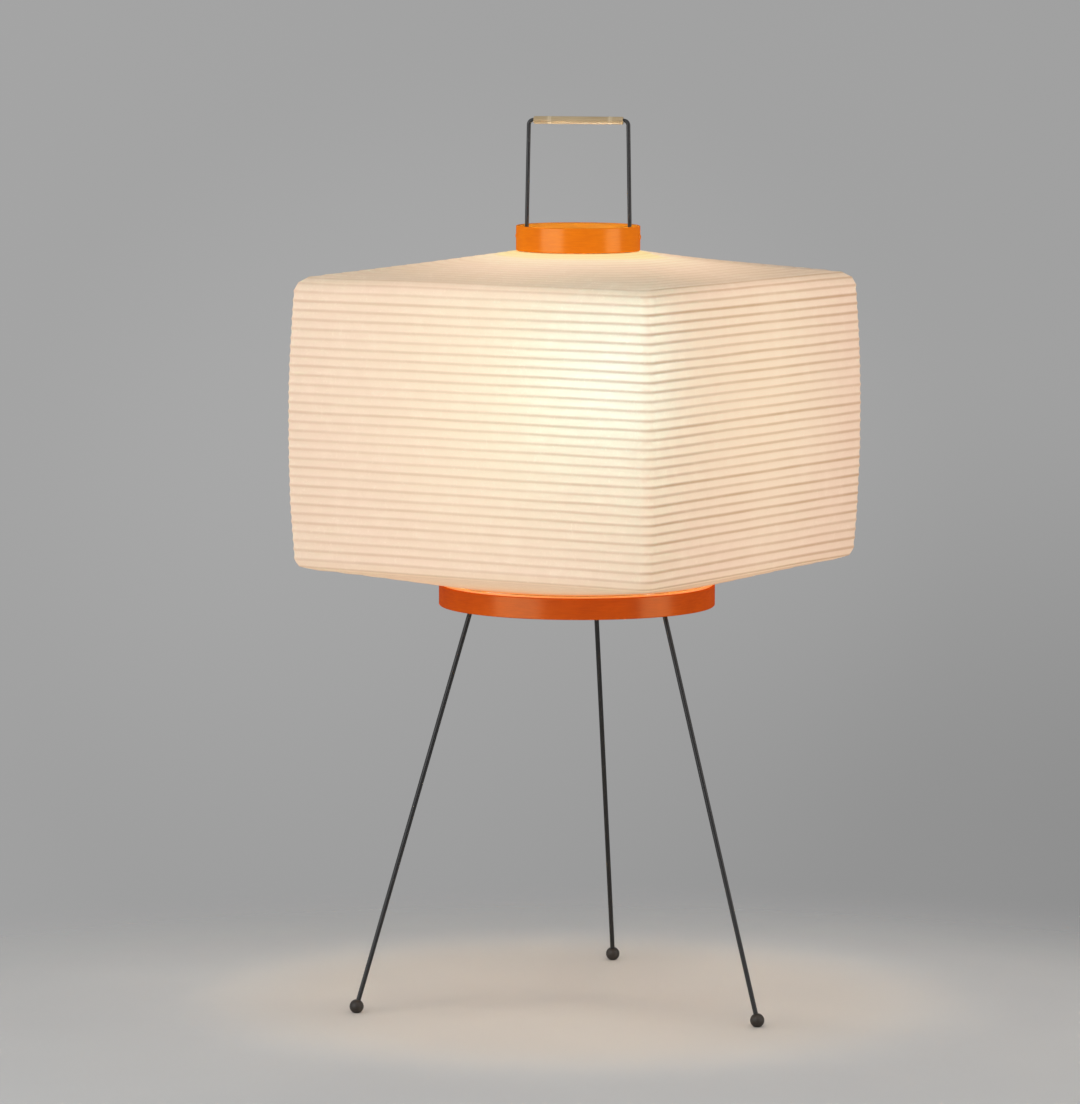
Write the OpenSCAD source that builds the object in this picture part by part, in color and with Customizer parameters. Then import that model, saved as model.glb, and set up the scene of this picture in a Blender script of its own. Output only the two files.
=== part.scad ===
// Paper lantern table lamp: a square ribbed paper shade between two orange hoops, on three wire legs.
// Millimetres, +Z up. The origin is on the floor, under the lamp's centre line.
// The handle lies along X, the back leg points to +Y, and the square shade is turned on the stand.

/* [Legs and feet] */
// Diameter of the leg wire
leg_d = 4; // [3:0.5:6]
// Distance of each foot's centre from the lamp's centre line
foot_circle_r = 197; // [160:1:240]
// Distance of each leg from the centre line where it passes the base hoop's lower edge
leg_mouth_r = 95; // [70:1:100]
// Diameter of the ball feet
foot_d = 12; // [9:0.5:18]
// Depth of the flat that each ball stands on
foot_flat = 0.5; // [0.3:0.1:1]
// How deep a leg goes into its ball, from the ball's centre
foot_hole_depth = 2.5; // [1:0.5:3]

/* [Base hoop and spider] */
// Height of the base hoop's lower edge above the floor
base_z = 340; // [280:1:400]
// Outer diameter of the base hoop
base_d = 234.4; // [224:0.4:250]
// Height of the base hoop
base_h = 18; // [16:0.5:26]
// Wall of both hoops
hoop_wall = 2; // [1.5:0.1:3]
// Rounding of the hoops' edges
hoop_edge_r = 0.6; // [0.2:0.1:0.7]
// Width of the spider's three arms
arm_w = 14; // [12:1:20]
// Thickness of the spider's sheet
spider_t = 2.5; // [2:0.1:3]
// Height of the spider's sheet above the base hoop's lower edge
spider_lift = 4; // [3:0.5:6]
// Radius of the spider's hub
hub_r = 22; // [18:1:30]
// Distance of the arms' upturned tabs below the base hoop's upper edge
tab_drop = 2; // [1.5:0.5:4]
// Outer diameter of the leg sockets
socket_d = 9; // [8:0.5:11]
// Length of the leg sockets
socket_len = 14; // [10:0.5:16]

/* [Lamp bridge and stem] */
// Distance between the carrying frame's two ends, at the bridge
frame_foot_w = 99; // [92:1:110]
// Width of the bridge strip
bridge_w = 16; // [14:1:22]
// Thickness of the bridge strip
bridge_t = 2.5; // [2:0.1:3]
// Outer diameter of the threaded stem tube
stem_d = 10; // [10:0.5:13]
// Bore of the stem tube, where the cord enters
stem_bore_d = 8; // [6:0.5:8]
// How far the stem tube stands out below the spider
stem_tail = 11; // [8:0.5:14]
// Height of the lamp holder's foot above the base hoop's upper edge
holder_rise = 53; // [40:1:70]
// Width across the flats of the stem nuts
stem_nut_af = 14; // [14:0.5:17]
// Thickness of the stem nuts
stem_nut_t = 3.6; // [3:0.2:5]

/* [Carrying frame and handle] */
// Diameter of the frame wire
frame_d = 3.4; // [3:0.1:4.5]
// Distance of the handle's uprights from the top hoop's outer wall
handle_inset = 10; // [8.5:0.5:12.5]
// Inner radius of the frame's two bends, to the wire's centre line
handle_bend_r = 4; // [3:0.5:8]
// Height of the handle's centre line above the top hoop
handle_rise = 88.5; // [60:0.5:120]
// Diameter of the bamboo grip
grip_d = 7; // [6:0.2:12]
// Width across the flats of the frame nuts
frame_nut_af = 7; // [7:0.5:9]
// Thickness of the frame nuts
frame_nut_t = 2.6; // [2:0.1:3.4]
// Diameter of the collars that the shade hangs on
collar_d = 8; // [7:0.2:9]
// Height of those collars
collar_h = 4; // [3:0.5:6]

/* [Shade] */
// Width of the square shade, at the middle of its walls
shade_w = 358; // [300:1:400]
// How far each wall draws in at its upper and lower ends
wall_barrel = 3.5; // [1:0.5:8]
// Height of the walls between their rounded edges
wall_h = 224; // [160:1:260]
// Rounding of the shade's upright corners
corner_r = 10; // [6:1:24]
// Rounding of the shade's lower edges
belly_r = 10; // [6:1:20]
// Rounding of the shade's upper edges
crown_r = 14; // [8:1:24]
// Slope of the shade's underside, in degrees
belly_slope = 16; // [8:0.5:25]
// Slope of the shade's top, in degrees
crown_slope = 9.7; // [8:0.1:25]
// Turn of the square shade on the stand, in degrees
shade_turn = -22; // [-45:1:45]
// Distance from one rib to the next, along the paper
rib_pitch = 7.8; // [7:0.1:16]
// Thickness of the ribs
rib_t = 1.4; // [1:0.1:2]
// Thickness of the paper
paper_t = 0.6; // [0.4:0.1:1]
// How far the paper draws in between two ribs
pleat_depth = 0.6; // [0.2:0.1:1]
// Diameter of the wire ring in the shade's foot
ring_d = 3; // [2.5:0.1:4]

/* [Top hoop and its ears] */
// Outer diameter of the top hoop
top_d = 105; // [103:0.5:112]
// Height of the top hoop
top_h = 21; // [19:0.5:28]
// Height of the stiff paper band that is glued inside the top hoop
neck_h = 4; // [3:0.5:5]
// Height of the ears above the top hoop's lower edge
ear_lift = 6.5; // [6:0.5:8]
// Width of the ears
ear_w = 12; // [10:0.5:16]
// Thickness of the ears
ear_t = 1.5; // [1:0.1:2]
// How far the ears reach in past the wire's centre
ear_reach = 3.2; // [2:0.1:3.5]
// Height of the ears' tabs
ear_tab_h = 9; // [8:0.5:10]
// Diameter of the rivets that hold the ears
rivet_d = 3; // [2.5:0.1:4]

/* [Lamp holder and bulb] */
// Outer diameter of the lamp holder's shell
holder_d = 39; // [37:0.5:46]
// Height of the lamp holder
holder_h = 55; // [53:0.5:62]
// Wall of the lamp holder's housing
holder_wall = 2.4; // [2:0.1:3]
// Diameter of the bulb's screw cap
cap_d = 26.4; // [26:0.1:27]
// Height of the bulb's screw cap above its contact
cap_h = 27; // [25:0.5:28]
// Diameter of the bulb
bulb_d = 60; // [50:1:80]
// Length of the bulb, with its cap
bulb_len = 105; // [95:1:125]
// Wall of the bulb's glass
glass_t = 1; // [0.8:0.1:1.5]

/* [Hidden] */
$fn = 72;

// Gap at rest between pieces that seat on each other but come apart
seat_gap = 0.3;
// Radial gap of a shank in its hole
hole_gap = 0.05;
// Radial gap of the grip on its wire
grip_gap = 0.08;
// Radial gap of the ears' notches round the frame wire
notch_gap = 0.4;
// Overshoot of a cutting tool past the face that it cuts
past = 1;
// How far the leg sockets' middles lie below the middle of the tabs
socket_drop = 0.5;
// Thread that stands out past each frame nut
frame_thread_end = 2;

// Directions of the three legs round the centre line, in degrees
left_leg = -150;
right_leg = -30;
back_leg = 90;

// Legs
foot_z = foot_d / 2 - foot_flat;
leg_lean = atan((foot_circle_r - leg_mouth_r) / (base_z - foot_z));

// Base hoop, spider and bridge, from the bottom up
base_in_r = base_d / 2 - hoop_wall;
base_top = base_z + base_h;
spider_z = base_z + spider_lift;
bridge_z = spider_z + spider_t;
bridge_top = bridge_z + bridge_t;
tab_r = base_in_r - hole_gap;
tab_top = base_top - tab_drop;
tab_t = spider_t;
socket_z = (spider_z + tab_top) / 2 - socket_drop;
stem_hole_r = stem_d / 2 + hole_gap;

// Foot ring of the shade, nested in the base hoop on the spider's tabs
ring_r = base_in_r - seat_gap - ring_d / 2;
ring_z = tab_top + seat_gap + ring_d / 2;

// Outline of the shade at the middle of a wall: slope, rounding, wall, rounding, slope
shade_half = shade_w / 2;
foot_a = ring_r;
foot_edge_z = ring_z + ring_d / 2 + seat_gap;
neck_a = top_d / 2 - hoop_wall - seat_gap;
crown_a = top_d / 2 - hoop_edge_r;
wall_swing = 2 * atan(2 * wall_barrel / wall_h);
wall_r = wall_h / 2 / sin(wall_swing);
belly_len = (shade_half - foot_a - wall_barrel - belly_r * (cos(wall_swing) - sin(belly_slope)))
    / cos(belly_slope);
crown_len = (shade_half - crown_a - wall_barrel - crown_r * (cos(wall_swing) - sin(crown_slope)))
    / cos(crown_slope);
belly_turn = 90 - wall_swing - belly_slope;
crown_turn = 90 - wall_swing - crown_slope;

// Length along the outline at the end of each of its five stretches
radians = PI / 180;
end_belly = belly_len;
end_belly_arc = end_belly + belly_r * belly_turn * radians;
end_wall = end_belly_arc + wall_r * 2 * wall_swing * radians;
end_crown_arc = end_wall + crown_r * crown_turn * radians;
end_crown = end_crown_arc + crown_len;

// Where each stretch starts, as [distance from the centre line, height]
function along(p, heading, d) = p + d * [cos(heading), sin(heading)];
function round_bend(p, r, from, to) = p + r * [sin(to) - sin(from), cos(from) - cos(to)];
start_belly = [foot_a, foot_edge_z];
start_belly_arc = along(start_belly, belly_slope, belly_len);
start_wall = round_bend(start_belly_arc, belly_r, belly_slope, 90 - wall_swing);
start_crown_arc = round_bend(start_wall, wall_r, 90 - wall_swing, 90 + wall_swing);
start_crown = round_bend(start_crown_arc, crown_r, 90 + wall_swing, 180 - crown_slope);
neck_z = along(start_crown, 180 - crown_slope, crown_len)[1];

// Direction of the outline, and the point on it, at length s from its foot
function heading(s) =
    s <= end_belly ? belly_slope
    : s <= end_belly_arc ? belly_slope + (s - end_belly) / belly_r / radians
    : s <= end_wall ? 90 - wall_swing + (s - end_belly_arc) / wall_r / radians
    : s <= end_crown_arc ? 90 + wall_swing + (s - end_wall) / crown_r / radians
    : 180 - crown_slope;
function outline(s) =
    s <= end_belly ? along(start_belly, belly_slope, s)
    : s <= end_belly_arc ? round_bend(start_belly_arc, belly_r, belly_slope, heading(s))
    : s <= end_wall ? round_bend(start_wall, wall_r, 90 - wall_swing, heading(s))
    : s <= end_crown_arc ? round_bend(start_crown_arc, crown_r, 90 + wall_swing, heading(s))
    : along(start_crown, 180 - crown_slope, s - end_crown_arc);
function outward(s) = [sin(heading(s)), -cos(heading(s))];
// How square the shade is at length s: 0 is round, at the hoops, and 1 is square, on the walls
function squareness(s) =
    s < end_belly ? s / end_belly
    : s > end_crown_arc ? max(0, 1 - (s - end_crown_arc) / crown_len)
    : 1;

// One wall's share of a level section: its points from one corner's middle to the next one's
quarter_steps = 7;
function quarter(a, r, square) = [
    for (j = [0 : quarter_steps])
        let (
            low = j < (quarter_steps + 1) / 2,
            round_at = -45 + 90 * j / quarter_steps,
            bend_at = low ? -45 + 15 * j : 15 * (j - 4),
            side = (low ? -1 : 1) * (a - r)
        )
        (1 - square) * a * [cos(round_at), sin(round_at)]
        + square * [a - r + r * cos(bend_at), side + r * sin(bend_at)]
];
function section(a, r, square) = [
    for (q = [0 : 3], j = [0 : quarter_steps - 1])
        let (p = quarter(a, r, square)[j])
        [p[0] * cos(90 * q) - p[1] * sin(90 * q), p[0] * sin(90 * q) + p[1] * cos(90 * q)]
];

// The paper's thickness at a rib
skin = paper_t + pleat_depth;

// Ribs, at even steps along the outline
rib_count = round(end_crown / rib_pitch);
rib_step = end_crown / rib_count;

// Top hoop, ears and handle
top_z = neck_z + seat_gap;
top_rim = top_z + top_h;
top_in_r = top_d / 2 - hoop_wall;
handle_z = top_rim + handle_rise;
handle_half = top_d / 2 - handle_inset;
ear_z = top_z + ear_lift;
frame_tail = frame_nut_t + frame_thread_end;
frame_start = bridge_top + frame_tail;
frame_end = handle_z - handle_bend_r;
frame_lean = atan((frame_foot_w / 2 - handle_half) / (frame_end - frame_start));
function frame_x(z) = handle_half + (frame_end - z) * tan(frame_lean);
ear_x = frame_x(ear_z);
notch_r = frame_d / 2 + notch_gap;
collar_top = ear_z - seat_gap;
rivet_z = ear_z + ear_t + (ear_tab_h - ear_t) / 2;
grip_len = 2 * (handle_half - handle_bend_r - seat_gap);

// Lamp holder's housing: a cup below and a shell above, which overlap at the skirt
holder_z = base_top + holder_rise;
holder_top = holder_z + holder_h;
holder_r = holder_d / 2;
holder_bevel = 1;
skirt_h = 6;
shell_z = holder_z + 20;
shell_band_h = 10;
shell_step = 1.2;
mouth_h = 3;
cup_r = holder_r - 1.5;
cup_foot_r = holder_r - 6;
cup_foot_h = 4;
cup_in_r = holder_r - holder_wall - 1.6;

// Inside of the lamp holder: ceramic core, threaded shell, springy contact and terminal screws
cap_r = cap_d / 2;
tip_z = holder_top - cap_h;
contact_h = 3;
core_r = cup_in_r - 0.7;
core_top = tip_z - contact_h;
core_h = 12;
core_seat_h = 1;
wire_hole_r = 1.6;
wire_hole_y = 9;
screw_shell_t = 0.5;
screw_shell_r = cap_r + seat_gap;
screw_shell_mouth_r = 9;
mouth_r = screw_shell_r + screw_shell_t + 0.6;
contact_w = 6;
contact_t = 0.6;
terminal_x = 8;
terminal_r = 1.5;
terminal_depth = 6;
terminal_head_r = 2.6;
terminal_head_h = 1.8;
terminal_slot_w = 0.8;

// Bulb: glass, screw cap, black insulator and contact
glass_z = holder_top + 0.8;
neck_r = cap_r + 1;
neck_flare = 0.6;
neck_flare_h = 5;
bulb_z = tip_z + bulb_len - bulb_d / 2;
cap_t = 1.2;
cap_low = tip_z + 4.5;
tip_r = 4;
tip_h = 1.6;
insulator_h = 4.3;

// Grip and rivets
grip_bevel = 0.5;
grip_ring_in = 11;
grip_ring_h = 0.2;
rivet_head_r = 2.7;
rivet_head_h = 1.2;
rivet_tail_r = 2.4;
rivet_tail_h = 0.9;

// A level ring of rectangular section with softened edges
module hoop(r_out, wall, h) {
    rotate_extrude()
        translate([r_out - wall, 0])
            polygon([
                [hoop_edge_r, 0],
                [wall - hoop_edge_r, 0],
                [wall, hoop_edge_r],
                [wall, h - hoop_edge_r],
                [wall - hoop_edge_r, h],
                [hoop_edge_r, h],
                [0, h - hoop_edge_r],
                [0, hoop_edge_r]
            ]);
}

// A hexagon nut on the Z axis, standing on z = 0
module nut(across, bore_r, t) {
    difference() {
        cylinder(r = across / 2 / cos(30), h = t, $fn = 6);
        translate([0, 0, -past])
            cylinder(r = bore_r, h = t + 2 * past);
    }
}

// Puts its children on a leg's own axis, with the foot's centre at z = 0
module on_leg(direction) {
    rotate([0, 0, direction])
        translate([foot_circle_r, 0, foot_z])
            rotate([0, -leg_lean, 0])
                children();
}

// Distance along the leg from the foot's centre to a height above the floor
function up_leg(z) = (z - foot_z) / cos(leg_lean);

module leg(direction) {
    color("#1b1d1f")
        on_leg(direction)
            translate([0, 0, foot_hole_depth])
                cylinder(r = leg_d / 2, h = up_leg(tab_top) - foot_hole_depth);
}

module foot(direction) {
    color("#2e2722")
        difference() {
            on_leg(direction)
                sphere(r = foot_d / 2);
            on_leg(direction)
                translate([0, 0, foot_hole_depth])
                    cylinder(r = leg_d / 2 + hole_gap, h = foot_d);
            rotate([0, 0, direction])
                translate([foot_circle_r, 0, -foot_d / 2])
                    cube([2 * foot_d, 2 * foot_d, foot_d], center = true);
        }
}

module base_hoop() {
    color("#d2600f")
        translate([0, 0, base_z])
            hoop(base_d / 2, hoop_wall, base_h);
}

// Three flat arms from a hub, each with a tab that turns up along the base hoop's inner wall
module spider() {
    color("#1f2123")
        difference() {
            union() {
                translate([0, 0, spider_z])
                    cylinder(r = hub_r, h = spider_t);
                for (direction = [left_leg, right_leg, back_leg])
                    rotate([0, 0, direction]) {
                        intersection() {
                            translate([0, -arm_w / 2, spider_z])
                                cube([base_d, arm_w, spider_t]);
                            cylinder(r = tab_r, h = base_top);
                        }
                        intersection() {
                            translate([hub_r, -arm_w / 2, spider_z])
                                cube([base_d, arm_w, tab_top - spider_z]);
                            difference() {
                                cylinder(r = tab_r, h = base_top);
                                cylinder(r = tab_r - tab_t, h = base_top + past);
                            }
                        }
                    }
            }
            translate([0, 0, spider_z - past])
                cylinder(r = stem_hole_r, h = spider_t + 2 * past);
            for (direction = [left_leg, right_leg, back_leg])
                on_leg(direction)
                    translate([0, 0, up_leg(socket_z) - socket_len])
                        cylinder(r = socket_d / 2 + hole_gap, h = 2 * socket_len);
        }
}

module leg_sockets() {
    color("#26282a")
        for (direction = [left_leg, right_leg, back_leg])
            on_leg(direction)
                translate([0, 0, up_leg(socket_z) - socket_len / 2])
                    difference() {
                        cylinder(r = socket_d / 2, h = socket_len);
                        translate([0, 0, -past])
                            cylinder(r = leg_d / 2 + hole_gap, h = socket_len + 2 * past);
                    }
}

// Strip across the spider's hub that holds both ends of the carrying frame
module lamp_bridge() {
    reach = frame_foot_w / 2;
    color("#26282a")
        translate([0, 0, bridge_z])
            difference() {
                union() {
                    translate([-reach, -bridge_w / 2, 0])
                        cube([2 * reach, bridge_w, bridge_t]);
                    for (side = [-1, 1])
                        translate([side * reach, 0, 0])
                            cylinder(r = bridge_w / 2, h = bridge_t);
                }
                translate([0, 0, -past])
                    cylinder(r = stem_hole_r, h = bridge_t + 2 * past);
                for (side = [-1, 1])
                    translate([side * reach, 0, -past])
                        cylinder(r = frame_d / 2 + hole_gap, h = bridge_t + 2 * past);
            }
}

module stem_tube() {
    low = spider_z - stem_tail;
    high = holder_z + holder_wall + stem_nut_t;
    color("#c7b36a")
        translate([0, 0, low])
            difference() {
                cylinder(r = stem_d / 2, h = high - low);
                translate([0, 0, -past])
                    cylinder(r = stem_bore_d / 2, h = high - low + 2 * past);
            }
}

module stem_nuts() {
    color("#b9bcc0")
        for (z = [spider_z - stem_nut_t, bridge_top, holder_z - stem_nut_t, holder_z + holder_wall])
            translate([0, 0, z])
                nut(stem_nut_af, stem_hole_r, stem_nut_t);
}

// Lower half of the lamp holder: a cup with the stem's hole in its floor
module holder_cap() {
    rise = shell_z - holder_z;
    color("#202020")
        translate([0, 0, holder_z])
            rotate_extrude()
                polygon([
                    [stem_hole_r, 0],
                    [cup_foot_r, 0],
                    [cup_r, cup_foot_h],
                    [cup_r, rise],
                    [holder_r - holder_wall, rise],
                    [holder_r - holder_wall, rise + skirt_h],
                    [cup_in_r, rise + skirt_h],
                    [cup_in_r, cup_foot_h + 2],
                    [cup_foot_r - 2, holder_wall],
                    [stem_hole_r, holder_wall]
                ]);
}

// Upper half of the lamp holder: a plain skirt over the cup, drawn in to a rim round the bulb's neck
module holder_shell() {
    skirt_in = holder_r - holder_wall + hole_gap;
    upper_r = holder_r - holder_bevel;
    color("#262626")
        rotate_extrude()
            polygon([
                [skirt_in, shell_z],
                [holder_r, shell_z],
                [holder_r, shell_z + shell_band_h],
                [upper_r, shell_z + shell_band_h + holder_bevel],
                [upper_r, holder_top - holder_bevel],
                [upper_r - holder_bevel, holder_top],
                [mouth_r, holder_top],
                [mouth_r, holder_top - mouth_h],
                [skirt_in - shell_step, holder_top - 2 * mouth_h],
                [skirt_in - shell_step, shell_z + skirt_h + holder_bevel],
                [skirt_in, shell_z + skirt_h + holder_bevel]
            ]);
}

// Ceramic insert that carries the contacts, with a hole for each wire
module holder_core() {
    pocket = contact_w / 2 + 0.2 + seat_gap;
    low = core_top - core_h;
    color("#e9e4d8")
        difference() {
            union() {
                translate([0, 0, low])
                    cylinder(r = core_r, h = core_h);
                translate([0, 0, core_top])
                    cylinder(r = screw_shell_r - screw_shell_t, h = core_seat_h);
            }
            for (side = [-1, 1])
                translate([0, side * wire_hole_y, low - past])
                    cylinder(r = wire_hole_r, h = core_h + core_seat_h + 2 * past);
            translate([-pocket, -pocket, core_top])
                cube([2 * pocket, 2 * pocket, core_seat_h + past]);
            for (side = [-1, 1])
                translate([side * terminal_x, 0, low - past])
                    cylinder(r = terminal_r + hole_gap, h = terminal_depth + 1 + past);
        }
}

module screw_shell() {
    low = core_top + core_seat_h + hole_gap;
    color("#c9a23a")
        translate([0, 0, low])
            difference() {
                cylinder(r = screw_shell_r + screw_shell_t, h = holder_top - mouth_h - low);
                translate([0, 0, screw_shell_t])
                    cylinder(r = screw_shell_r, h = holder_top);
                translate([0, 0, -past])
                    cylinder(r = screw_shell_mouth_r, h = 2 * past + screw_shell_t);
            }
}

// Springy tongue that meets the bulb's tip
module centre_contact() {
    top = tip_z - seat_gap - core_top;
    half = contact_w / 2;
    color("#c9a23a")
        translate([0, half, core_top])
            rotate([90, 0, 0])
                linear_extrude(contact_w)
                    polygon([
                        [-half, 0],
                        [half, 0],
                        [half, contact_t],
                        [1.4 - half, contact_t],
                        [half, top - contact_t],
                        [half, top],
                        [half - 2 * contact_t, top],
                        [-half, contact_t + 0.2]
                    ]);
}

module terminal_screws() {
    color("#c9a23a")
        for (side = [-1, 1])
            translate([side * terminal_x, 0, core_top - core_h])
                difference() {
                    union() {
                        translate([0, 0, -terminal_head_h - hole_gap])
                            cylinder(r = terminal_head_r, h = terminal_head_h);
                        translate([0, 0, -1])
                            cylinder(r = terminal_r, h = terminal_depth + 1);
                    }
                    translate([-2 * terminal_r, -terminal_slot_w / 2, -2 * terminal_r - hole_gap])
                        cube([4 * terminal_r, terminal_slot_w, 2]);
                }
}

// One bent wire: two uprights with threaded feet, and the handle across their tops
module carry_frame() {
    bend_x = handle_half - handle_bend_r;
    color("#2b2c2e")
        for (side = [0, 1])
            mirror([side, 0, 0]) {
                translate([frame_foot_w / 2, 0, bridge_z - frame_tail])
                    cylinder(r = frame_d / 2, h = frame_start - bridge_z + frame_tail);
                translate([frame_foot_w / 2, 0, frame_start])
                    sphere(r = frame_d / 2);
                translate([handle_half, 0, frame_end]) {
                    sphere(r = frame_d / 2);
                    rotate([0, 180 - frame_lean, 0])
                        cylinder(r = frame_d / 2, h = (frame_end - frame_start) / cos(frame_lean));
                }
                translate([bend_x, 0, frame_end])
                    rotate([90, 0, 0])
                        rotate_extrude(angle = 90)
                            translate([handle_bend_r, 0])
                                circle(r = frame_d / 2);
                translate([-past, 0, handle_z])
                    rotate([0, 90, 0])
                        cylinder(r = frame_d / 2, h = bend_x + past);
            }
}

module frame_nuts() {
    color("#b9bcc0")
        for (side = [-1, 1], z = [bridge_z - frame_nut_t, bridge_top])
            translate([side * frame_foot_w / 2, 0, z])
                nut(frame_nut_af, frame_d / 2 + hole_gap, frame_nut_t);
}

module stop_collars() {
    color("#2b2c2e")
        for (side = [0, 1])
            mirror([side, 0, 0])
                translate([ear_x, 0, collar_top])
                    rotate([0, -frame_lean, 0])
                        translate([0, 0, -collar_h])
                            difference() {
                                cylinder(r = collar_d / 2, h = collar_h);
                                translate([0, 0, -past])
                                    cylinder(r = frame_d / 2 + hole_gap, h = collar_h + 2 * past);
                            }
}

// Bamboo tube on the handle, with one growth ring near its right end
module grip() {
    r = grip_d / 2;
    half = grip_len / 2;
    bore_r = frame_d / 2 + grip_gap;
    ring_at = half - grip_ring_in;
    color("#d8bd86")
        translate([0, 0, handle_z])
            rotate([0, 90, 0])
                rotate_extrude()
                    polygon([
                        [bore_r, -half],
                        [r - grip_bevel, -half],
                        [r - grip_ring_h / 2, grip_bevel - half],
                        [r - grip_ring_h, ring_at - 1],
                        [r, ring_at],
                        [r - grip_ring_h, ring_at + 1],
                        [r - grip_ring_h / 2, half - grip_bevel],
                        [r - grip_bevel, half],
                        [bore_r, half]
                    ]);
}

// Opal bulb: a ball drawn in to a neck, open where the neck goes into the cap
module bulb_glass() {
    ball_r = bulb_d / 2;
    meet = -50;
    low_r = neck_r - glass_t;
    color("#fdf6e6")
        difference() {
            rotate_extrude()
                polygon(concat(
                    [[0, glass_z], [neck_r, glass_z], [neck_r + neck_flare, glass_z + neck_flare_h]],
                    [for (t = [meet : 10 : 90]) ball_r * [cos(t), sin(t)] + [0, bulb_z]]
                ));
            rotate_extrude()
                polygon(concat(
                    [[0, glass_z - past], [low_r, glass_z - past], [low_r + neck_flare, glass_z + neck_flare_h]],
                    [for (t = [meet : 10 : 90]) (ball_r - glass_t) * [cos(t), sin(t)] + [0, bulb_z]]
                ));
        }
}

module bulb_cap() {
    color("#c9ccd0")
        rotate_extrude()
            polygon([
                [cap_r - 3.5, cap_low],
                [cap_r - 1, cap_low + cap_t],
                [cap_r, cap_low + 3],
                [cap_r, holder_top],
                [neck_r - 0.2, holder_top + 0.5],
                [neck_r - glass_t - 1.6, holder_top + 0.5],
                [cap_r - cap_t, holder_top - 1],
                [cap_r - cap_t, cap_low + 4],
                [cap_r - 4.5, cap_low + 1.5]
            ]);
}

module bulb_insulator() {
    low = tip_z + tip_h;
    color("#141414")
        rotate_extrude()
            polygon([
                [0, low],
                [tip_r + 1, low],
                [cap_r - 3.9, cap_low - 0.1],
                [cap_r - 4.9, low + insulator_h],
                [0, low + insulator_h]
            ]);
}

module bulb_contact() {
    color("#c9ccd0")
        rotate_extrude()
            polygon([
                [0, tip_z],
                [tip_r - 1.5, tip_z + 0.3],
                [tip_r, tip_z + 1.1],
                [tip_r, tip_z + tip_h],
                [0, tip_z + tip_h]
            ]);
}

// How far the paper lies inside the outline at length s: nothing on a rib, most between two ribs
function pleat(s) = pleat_depth * (1 - abs(2 * (s / rib_step - floor(s / rib_step)) - 1));

// One sheet of the shade's paper, on one of its four sides, with its plain inside at the lengths
// inner_at along the outline. It runs from one corner's middle to the next, and is pleated outside.
module sheet(side, inner_at) {
    from = inner_at[0];
    to = inner_at[len(inner_at) - 1];
    half_step = rib_step / 2;
    outer_at = concat(
        [from],
        [for (i = [ceil(from / half_step + 0.1) : floor(to / half_step - 0.1)]) i * half_step],
        [to]
    );
    outer = [for (s = outer_at) [outline(s) - pleat(s) * outward(s), corner_r, squareness(s)]];
    inner = [for (s = inner_at) [outline(s) - skin * outward(s), corner_r - skin, squareness(s)]];
    points = [
        for (row = concat(outer, inner), q = quarter(row[0][0], row[1], row[2]))
            [q[0], q[1], row[0][1]]
    ];
    across = quarter_steps + 1;
    n_out = len(outer);
    last = n_out + len(inner) - 1;
    low = n_out * across;
    high = last * across;
    rim = (n_out - 1) * across;
    faces = concat(
        [for (i = [0 : n_out - 2], j = [0 : across - 2])
            [i * across + j, (i + 1) * across + j, (i + 1) * across + j + 1]],
        [for (i = [0 : n_out - 2], j = [0 : across - 2])
            [i * across + j, (i + 1) * across + j + 1, i * across + j + 1]],
        [for (i = [n_out : last - 1], j = [0 : across - 2])
            [i * across + j, (i + 1) * across + j + 1, (i + 1) * across + j]],
        [for (i = [n_out : last - 1], j = [0 : across - 2])
            [i * across + j, i * across + j + 1, (i + 1) * across + j + 1]],
        [for (j = [0 : across - 2]) [j, j + 1, low + j + 1]],
        [for (j = [0 : across - 2]) [j, low + j + 1, low + j]],
        [for (j = [0 : across - 2]) [rim + j, high + j + 1, rim + j + 1]],
        [for (j = [0 : across - 2]) [rim + j, high + j, high + j + 1]],
        [concat([for (i = [n_out - 1 : -1 : 0]) i * across], [for (i = [n_out : last]) i * across])],
        [concat(
            [for (i = [1 : n_out]) i * across - 1],
            [for (i = [last + 1 : -1 : n_out + 1]) i * across - 1]
        )]
    );
    color("#f6e6cc")
        rotate([0, 0, shade_turn + 90 * side])
            polyhedron(points, faces);
}

// Even steps from one length to another, without the last
function steps(from, to, count) = [for (i = [0 : count - 1]) from + (to - from) * i / count];

module belly(side) {
    sheet(side, concat(steps(0, end_belly, 3), steps(end_belly, end_belly_arc, 4), [end_belly_arc]));
}

module wall(side) {
    sheet(side, concat(steps(end_belly_arc, end_wall, 6), [end_wall]));
}

module crown(side) {
    sheet(side, concat(steps(end_wall, end_crown_arc, 4), steps(end_crown_arc, end_crown, 5), [end_crown]));
}

// Stiff paper ring inside the crown sheets' mouth, glued into the top hoop
module neck_band() {
    lip_r = (crown_a - skin * sin(crown_slope)) * cos(45 / quarter_steps) - hole_gap;
    color("#f0dcbc")
        rotate_extrude()
            polygon([
                [neck_a - paper_t, neck_z - paper_t],
                [lip_r, neck_z - paper_t],
                [lip_r, neck_z],
                [neck_a, neck_z],
                [neck_a, neck_z + neck_h],
                [neck_a - paper_t, neck_z + neck_h]
            ]);
}

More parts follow.
